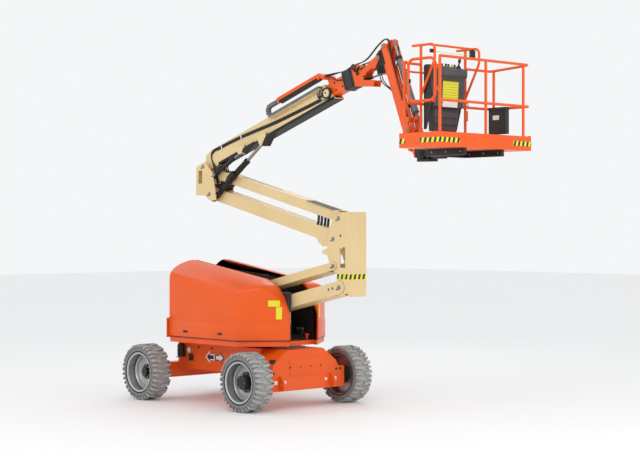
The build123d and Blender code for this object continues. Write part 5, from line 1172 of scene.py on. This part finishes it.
class BOOMLIFT_OT_nose(BoomLiftOperator):
    """Adds the wrap, ring, bolts and hoses of the fly's nose, and the cheeks, pins and hoses of the jib"""

    bl_idname = "boomlift.nose"
    bl_label = "Boom nose and jib"

    def wrap(self):
        wrap, straps, rings = Shape(), Shape(), []
        steps = ((3.190, 0.0), (3.200, 0.010), (3.235, 0.016), (3.290, 0.012), (3.345, 0.017), (3.385, 0.010))
        for s, swell in (*steps, (3.395, 0.0)):
            half, n0, n1 = 0.078 + swell, -0.022 - swell, 0.246 + swell
            left = [(-half, n0), (-half, n1 - 0.03), (-half + 0.04, n1)]
            right = [(half - 0.04, n1), (half, n1 - 0.03), (half, n0)]
            rings.append([(s, y, n) for y, n in left + right])
        add_piece("nose_hose_wrap", wrap.skin(rings, BOOM), "black_plastic", "fly", 0.005, smooth=50)
        half, shoulder = 0.0965, 0.050
        section = [(-half, -0.038), (-half, 0.236), (-shoulder, 0.2655), (shoulder, 0.2655), (half, 0.236)]
        for s in (3.222, 3.362):
            straps.skin([[(x, y, n) for y, n in (*section, (half, -0.038))] for x in (s, s + 0.012)], BOOM)
        add_piece("nose_wrap_straps", straps, "dark_steel_and_painted_shade", "fly", 0.002)

    def fittings(self):
        ring = Shape().lathe(circle((0.033, 0), 0.011, 10), BOOM @ facing((3.452, -0.086, 0.222), RIGHT), 28)
        ring.block((3.440, -0.092, 0.150), (3.464, -0.074, 0.200), BOOM)
        spots = ((3.500, 0.150), (3.545, 0.165), (3.500, 0.105))
        for s, n in spots:
            ring.block((s - 0.018, -0.100, n - 0.018), (s + 0.018, -0.070, n + 0.018), BOOM)
        add_piece("nose_ring", ring, "black_plastic", "fly", 0.002, smooth=50)
        bolts = [BOOM @ facing((s, -0.100, n), RIGHT) for s, n in spots]
        spots = ((3.02, 0.05), (3.02, 0.16), (3.16, 0.05), (3.60, 0.02), (3.72, 0.00), (3.84, 0.02))
        bolts += [BOOM @ facing((s, side * 0.0755, n), (0, side, 0)) for side in SIDES for s, n in spots]
        repeat_at("nose_bolts", bolt(0.010, 0.008), bolts, "dark_steel_and_painted_shade", "fly")
        spot = pivot("jib_base_level")
        repeat_at("nose_pins", pin_head(0.026), flanks(spot.x, 0.076, spot.z), "zinc", "fly")

    def hoses(self, hose):
        feed, out, down, hang = [], [], [], []
        for y, lift in ((-0.130, 0.0), (-0.100, 0.012), (-0.115, -0.010)):
            start = [(2.72, y, 0.325 + lift), (2.84, y, 0.330 + lift), (2.94, y + 0.02, 0.305 + lift)]
            end = [(3.06, y + 0.03, 0.280 + lift), (3.16, -0.070, 0.262), (3.24, -0.062, 0.245)]
            feed.append(along_boom(*start, *end))
        start = [(2.80, -0.125, 0.310), (2.90, -0.120, 0.300), (2.99, -0.105, 0.270), (3.05, -0.094, 0.205)]
        feed.append(along_boom(*start, (3.11, -0.090, 0.150), (3.24, -0.090, 0.128)))
        add_hoses("nose_feed_hoses", feed, hose * 0.8, "hose", "fly")
        for i, y in enumerate((-0.090, -0.067, 0.067, 0.090)):
            rise, near = 0.008 * (i % 2), y * 0.7
            start = [(3.37, near, 0.235), (3.46, near, 0.250 + rise), (3.60, near, 0.222 + rise)]
            end = ((2.775, 5.020), (2.870, 5.105), (2.965, 5.170), (3.010, 5.196))
            out.append(along_boom(*start, (3.72, y * 0.8, 0.226)) + [(x, y, z + rise) for x, z in end])
            bend = [(x, y, z + rise) for x, z in ((2.965, 5.170), (3.030, 5.208), (3.105, 5.190))]
            line = ((0.07, 0.058), (0.20, 0.036), (0.46, 0.022), (0.80, 0.016), (1.06, 0.020))
            down.append(bend + [JIB_ARM @ Vector((s, y, n)) for s, n in line])
        bodies = ("fly", "jib_bracket", (2.72, 0, 4.93), (2.90, 0, 5.12))
        add_hoses("nose_to_jib_hoses", out, hose * 0.8, "hose", None, bodies)
        bodies = ("jib_bracket", "jib_arm_pair", (3.04, 0, 5.16), tuple(JIB_ARM @ Vector((0.16, 0, 0))))
        add_hoses("jib_hoses", down, hose * 0.8, "hose", None, bodies)
        self.cheeks()
        for y, x in ((-0.070, 0.0), (-0.070, 0.040), (0.070, 0.020)):
            line = ((2.905, 4.840), (2.915, 4.740), (2.945, 4.650), (3.015, 4.575))
            start, end = [(place + x, y, z) for place, z in line], (3.215 + x * 0.3, y * 0.9, 4.430)
            hang.append([*start, (3.120 + x * 0.6, y, 4.520), end])
        bodies = ("jib_bracket", "jib_link_pair", (2.99, 0, 4.72), (3.17, 0, 4.50))
        add_hoses("jib_hanging_hoses", hang, hose * 0.75, "hose", None, bodies)

    def cheeks(self):
        """The ribbed black plates on both sides of the jib's base."""
        cheeks, inner = Shape(), 0.049
        outline = [(2.830, 5.000), (2.893, 5.062), (2.937, 5.082), (2.990, 4.956), (3.040, 4.862)]
        outline += [(3.008, 4.742), (2.868, 4.738), (2.832, 4.866)]
        for side in SIDES:
            for shift in (0.0, 0.045, 0.090):
                rib = [(3.020 - shift, 4.800), (2.935 - shift * 0.9, 5.020)]
                cheeks.strip(rib, 0.012, side * inner, side * 0.066)
            cheeks.prism(outline, side * inner, side * 0.060)
        add_piece("jib_base_cheeks", cheeks, "black_paint", "jib_bracket", 0.003)

    def build(self, colours, sizes):
        self.wrap()
        self.fittings()
        self.hoses(sizes.hose)
        heads = []
        for spot in (pivot("jib_lift"), pivot("head_level")):
            heads += flanks(spot.x, 0.1355, spot.z)
        repeat_at("jib_arm_pins", pin_head(0.026), heads, "zinc", "jib_arm_pair")


class BOOMLIFT_OT_platform(BoomLiftOperator):
    """Adds the floor tread, toe board stripes, guard fittings, safety cord and support details"""

    bl_idname = "boomlift.platform"
    bl_label = "Platform"

    def deck(self):
        (left, near, _), (right, far, top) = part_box("platform_deck")
        thickness, z0, z1 = 0.0018, 3.697, 3.760
        stripes = Shape()
        for side, y in ((-1, near), (1, far)):
            out = y + side * thickness
            stripes.block((left + 0.002, y, z0), (left + 0.105, out, z1))
            stripes.block((right - 0.345, y, z0), (right, out, z1))
            stripes.block((right - 0.001, side * 0.53, z0), (right + thickness, y, z1))
        add_piece("toe_board_stripes", stripes, "hazard_tape", "platform")
        stud, places = Shape().prism([(-0.016, 0), (0, 0.0055), (0.016, 0)], -0.003, 0.003), []
        for i in range(16):
            for j in range(40):
                x, y = left + 0.055 + i * 0.040, near + 0.050 + j * 0.0445
                turned = Matrix.Rotation(math.radians(45 if (i + j) % 2 else -45), 4, "Z")
                if x < right - 0.05:
                    places.append(Matrix.Translation((x, y, 3.6698)) @ turned)
        repeat_at("deck_tread", stud, places, "orange", "platform")
        welds = Shape()
        for x in (4.165, 4.700, 4.781):
            for side in SIDES:
                place = facing((x, side * 0.881, top - 0.001), UP)
                welds.lathe([(0.017, 0.0), (0.027, 0.0), (0.019, 0.010), (0.017, 0.010)], place, 16)
        add_piece("post_welds", welds, "orange", "platform", smooth=60)

    def guards(self):
        plate, eyes = Shape().block((4.148, 0.300, 4.040), (4.158, 0.362, 4.180)), Shape()
        add_piece("guard_plates", plate, "orange", "platform", 0.002)
        for spot in ((4.700, -0.905, 4.225), (4.168, 0.330, 4.262), (4.168, -0.470, 4.262)):
            eyes.lathe(circle((0.022, 0), 0.007, 8), facing(spot, AHEAD), 20)
        add_piece("tether_rings", eyes, "orange", "platform", smooth=60)
        switches = Shape().block((4.205, 0.330, 4.880), (4.265, 0.392, 4.982))
        switches.block((4.214, 0.322, 4.900), (4.256, 0.331, 4.960))
        switches.block((4.290, -0.545, 4.886), (4.330, -0.480, 4.934))
        add_piece("cord_switches", switches, "black_plastic", "platform", 0.008, 3)
        cord = [(4.310, -0.482, 4.912), (4.290, -0.20, 4.906), (4.260, 0.10, 4.908), (4.236, 0.325, 4.930)]
        add_hoses("safety_cord", [cord], 0.0035, "cord_green", "platform")
        curl = [(4.118, -0.860, 4.700), (4.150, -0.840, 4.640), (4.165, -0.740, 4.628)]
        curl += [(4.165, -0.600, 4.630), (4.165, -0.515, 4.632)]
        add_hoses("corner_grab_rail", [curl], 0.0135, "orange", "platform", sides=4)

    def document_box(self):
        (left, front, bottom), (right, back, top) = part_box("document_box")
        label = Shape().plate(facing((left + 0.13, front, 4.105), RIGHT), 0.110, 0.060, 0.002, 0.004)
        add_piece("document_box_label", label, "white_sign", "platform")
        lid = Shape().block((left - 0.004, front - 0.004, top - 0.030), (right + 0.006, back, top + 0.004))
        lid.block((left + 0.02, front - 0.003, bottom + 0.02), (right - 0.02, front + 0.001, bottom + 0.045))
        add_piece("document_box_lid", lid, "black_plastic", "platform", 0.004)

    def build(self, colours, sizes):
        self.deck()
        self.guards()
        self.document_box()
        bottom, pads, studs, columns = 3.552, Shape(), [], (4.20, 4.45, 4.70)
        for y in (-0.37, 0.37):
            for x in columns:
                pads.block((x - 0.045, y - 0.045, 3.628), (x + 0.045, y + 0.045, 3.641))
            pads.block((4.60, y - 0.032, bottom + 0.010), (4.752, y + 0.032, bottom + 0.040))
            studs += [facing((x, y + side * 0.031, 3.600), (0, side, 0)) for side in SIDES for x in columns]
        pads.block((3.860, -0.060, bottom - 0.016), (4.060, 0.060, bottom + 0.010))
        add_piece("support_pads", pads, "black_paint", "platform", 0.003)
        repeat_at("support_bolts", bolt(0.010, 0.009), studs, "zinc", "platform")
        low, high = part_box("platform_gate")
        latch = Shape().block((low.x + 0.004, low.y + 0.010, 4.470), (low.x + 0.060, high.y - 0.012, 4.520))
        add_piece("gate_latch", latch, "dark_steel_and_painted_shade", "gate", 0.004)


class BOOMLIFT_OT_console(BoomLiftOperator):
    """Adds the control console's lid ribs, plates, knobs, joystick and side guards"""

    bl_idname = "boomlift.console"
    bl_label = "Console"

    def build(self, colours, sizes):
        soften("console", "console_plastic", 0.012, 0.006, 0.02)
        (_, near, _), (right, far, high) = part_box("console")
        width, ribs = far - near, Shape()
        ribs.block((right - 0.262, near - 0.004, high - 0.062), (right - 0.008, far + 0.004, high - 0.050))
        for i in range(9):
            y = near + 0.045 + i * (width - 0.09) / 8
            ribs.block((right - 0.040, y - 0.008, high - 0.140), (right + 0.004, y + 0.008, high - 0.070))
        ribs.block((right - 0.004, near + 0.02, high - 0.152), (right + 0.007, far - 0.02, high - 0.144))
        for z in (4.15, 4.06, 3.97):
            ribs.block((right - 0.150, near + 0.085, z - 0.004), (right - 0.094, far - 0.085, z + 0.004))
        add_piece("console_ribs", ribs, "console_plastic", "platform", 0.003)
        front, tilt, middle = right - 0.047, (1, 0, -0.05), -0.182
        sheet = Shape().plate(facing((front, middle, 4.412), tilt), 0.300, 0.235, 0.004, 0.008)
        add_piece("console_yellow_plate", sheet, "yellow_panel", "platform")
        note = Shape().plate(facing((front - 0.010, middle, 4.232), tilt), 0.290, 0.078, 0.004)
        add_piece("console_white_plate", note, "white_sign", "platform")

        top, knobs = high - 0.024, {"black": [], "yellow": [], "red": []}
        for i in range(8):
            spot = (right - 0.105 + 0.012 * (i % 2), near + 0.060 + i * (width - 0.15) / 7, top)
            colour = "red" if i == 2 else "yellow" if i in (1, 5) else "black"
            knobs[colour].append(facing(spot, (0.25, 0, 1)))
        knob = [(0, 0), (0.010, 0), (0.009, 0.012), (0.014, 0.016), (0.015, 0.034)]
        knob += [(0.011, 0.039), (0, 0.039)]
        names = {"black": "console_knobs", "yellow": "console_yellow_knobs", "red": "console_red_knob"}
        for colour, name in names.items():
            repeat_at(name, Shape().lathe(knob, steps=14), knobs[colour], colour + "_plastic", "platform")
        profile = [(0, 0), (0.036, 0), (0.032, 0.012), (0.016, 0.024), (0.010, 0.036), (0.010, 0.062)]
        profile += [(0.019, 0.074), (0.021, 0.106), (0.014, 0.118), (0, 0.120)]
        stick = Shape().lathe(profile, facing((right - 0.100, 0.036, top), (0.20, 0, 1)), 20)
        add_piece("console_joystick", stick, "black_plastic", "platform", 0.002, smooth=50)
        sides = Shape()
        outline = [
            (4.130, 4.735), (4.200, 4.745), (4.250, 4.700), (4.215, 4.600), (4.245, 4.420), (4.290, 4.260),
            (4.250, 4.180), (4.210, 4.030), (4.175, 3.900), (4.130, 3.900),
        ]
        for side, y in ((-1, near), (1, far)):
            sides.prism(outline, y - side * 0.004, y + side * 0.012)
        add_piece("console_side_guards", sides, "black_plastic", "platform", 0.006, 3)


class BOOMLIFT_OT_stage(BoomLiftOperator):
    """Sets the pale floor, the soft studio lights and the camera"""

    bl_idname = "boomlift.stage"
    bl_label = "Stage"

    def light(self, name, place, aim, power):
        data = bpy.data.lights.new(name, "AREA")
        data.shape, data.size, data.energy = "DISK", 5.0, power
        lamp = show(name, data)
        lamp.location = place
        lamp.rotation_euler = (Vector(aim) - Vector(place)).to_track_quat("-Z", "Y").to_euler()

    def build(self, colours, sizes):
        scene, stage = bpy.context.scene, bpy.context.scene.boom_lift_stage
        studio_floor("studio_floor", colours.floor)
        sheet, reach = bpy.data.meshes.new("floor"), 60
        corners = [(-reach, -reach, 0), (reach, -reach, 0), (reach, reach, 0), (-reach, reach, 0)]
        sheet.from_pydata(corners, [], [(0, 1, 2, 3)])
        sheet.materials.append(Finish.made["studio_floor"])
        show("floor", sheet)

        scene.world = bpy.data.worlds.new("studio")
        scene.world.use_nodes = True
        sky = scene.world.node_tree.nodes["Background"].inputs
        sky["Color"].default_value, sky["Strength"].default_value = (0.98, 0.99, 1.0, 1.0), 0.93
        scene.view_settings.view_transform = "Standard"
        self.light("key", (9.0, -9.0, 9.5), (1.0, 0.0, 2.2), 330)
        self.light("front", (13.0, 1.5, 5.0), (2.0, 0.0, 2.5), 150)
        self.light("side", (-5.0, -11.0, 6.0), (0.5, 0.0, 2.0), 90)
        self.light("back", (-6.0, 9.0, 8.0), (1.0, 0.0, 2.5), 60)

        data = bpy.data.cameras.new("camera")
        data.lens, data.sensor_width, data.clip_end = stage.lens, 36.0, 200
        camera = scene.camera = show("camera", data)
        camera.location = stage.camera_place
        heading, pitch = stage.camera_heading - math.pi / 2, math.pi / 2 + stage.camera_pitch
        camera.rotation_euler = Euler((pitch, 0, heading))


class BOOMLIFT_PT_panel(bpy.types.Panel):
    """Lists the sizes and colours, and the steps that dress the boom lift"""

    bl_idname = "BOOMLIFT_PT_panel"
    bl_label = "Boom lift"
    bl_space_type = "VIEW_3D"
    bl_region_type = "UI"
    bl_category = "Boom lift"

    def draw(self, context):
        for name, group in GROUPS.items():
            for label in group.__annotations__:
                self.layout.prop(getattr(context.scene, name), label)
        for step in STEPS:
            self.layout.operator(step.bl_idname)


GROUPS = {
    "boom_lift_colours": BoomLiftColours,
    "boom_lift_sizes": BoomLiftSizes,
    "boom_lift_stage": BoomLiftStage,
}
STEPS = (
    BOOMLIFT_OT_finishes,
    BOOMLIFT_OT_wheels,
    BOOMLIFT_OT_chassis,
    BOOMLIFT_OT_hoods,
    BOOMLIFT_OT_turntable,
    BOOMLIFT_OT_tower,
    BOOMLIFT_OT_cylinders,
    BOOMLIFT_OT_boom,
    BOOMLIFT_OT_carrier,
    BOOMLIFT_OT_nose,
    BOOMLIFT_OT_platform,
    BOOMLIFT_OT_console,
    BOOMLIFT_OT_stage,
)


def register():
    for group in GROUPS.values():
        bpy.utils.register_class(group)
    for name, group in GROUPS.items():
        setattr(bpy.types.Scene, name, bpy.props.PointerProperty(type=group))
    for step in (*STEPS, BOOMLIFT_PT_panel):
        bpy.utils.register_class(step)


def unregister():
    for step in (BOOMLIFT_PT_panel, *reversed(STEPS)):
        bpy.utils.unregister_class(step)
    for name, group in GROUPS.items():
        delattr(bpy.types.Scene, name)
        bpy.utils.unregister_class(group)


def main():
    register()
    for step in STEPS:
        category, name = step.bl_idname.split(".")
        getattr(getattr(bpy.ops, category), name)()


if __name__ == "__main__":
    main()
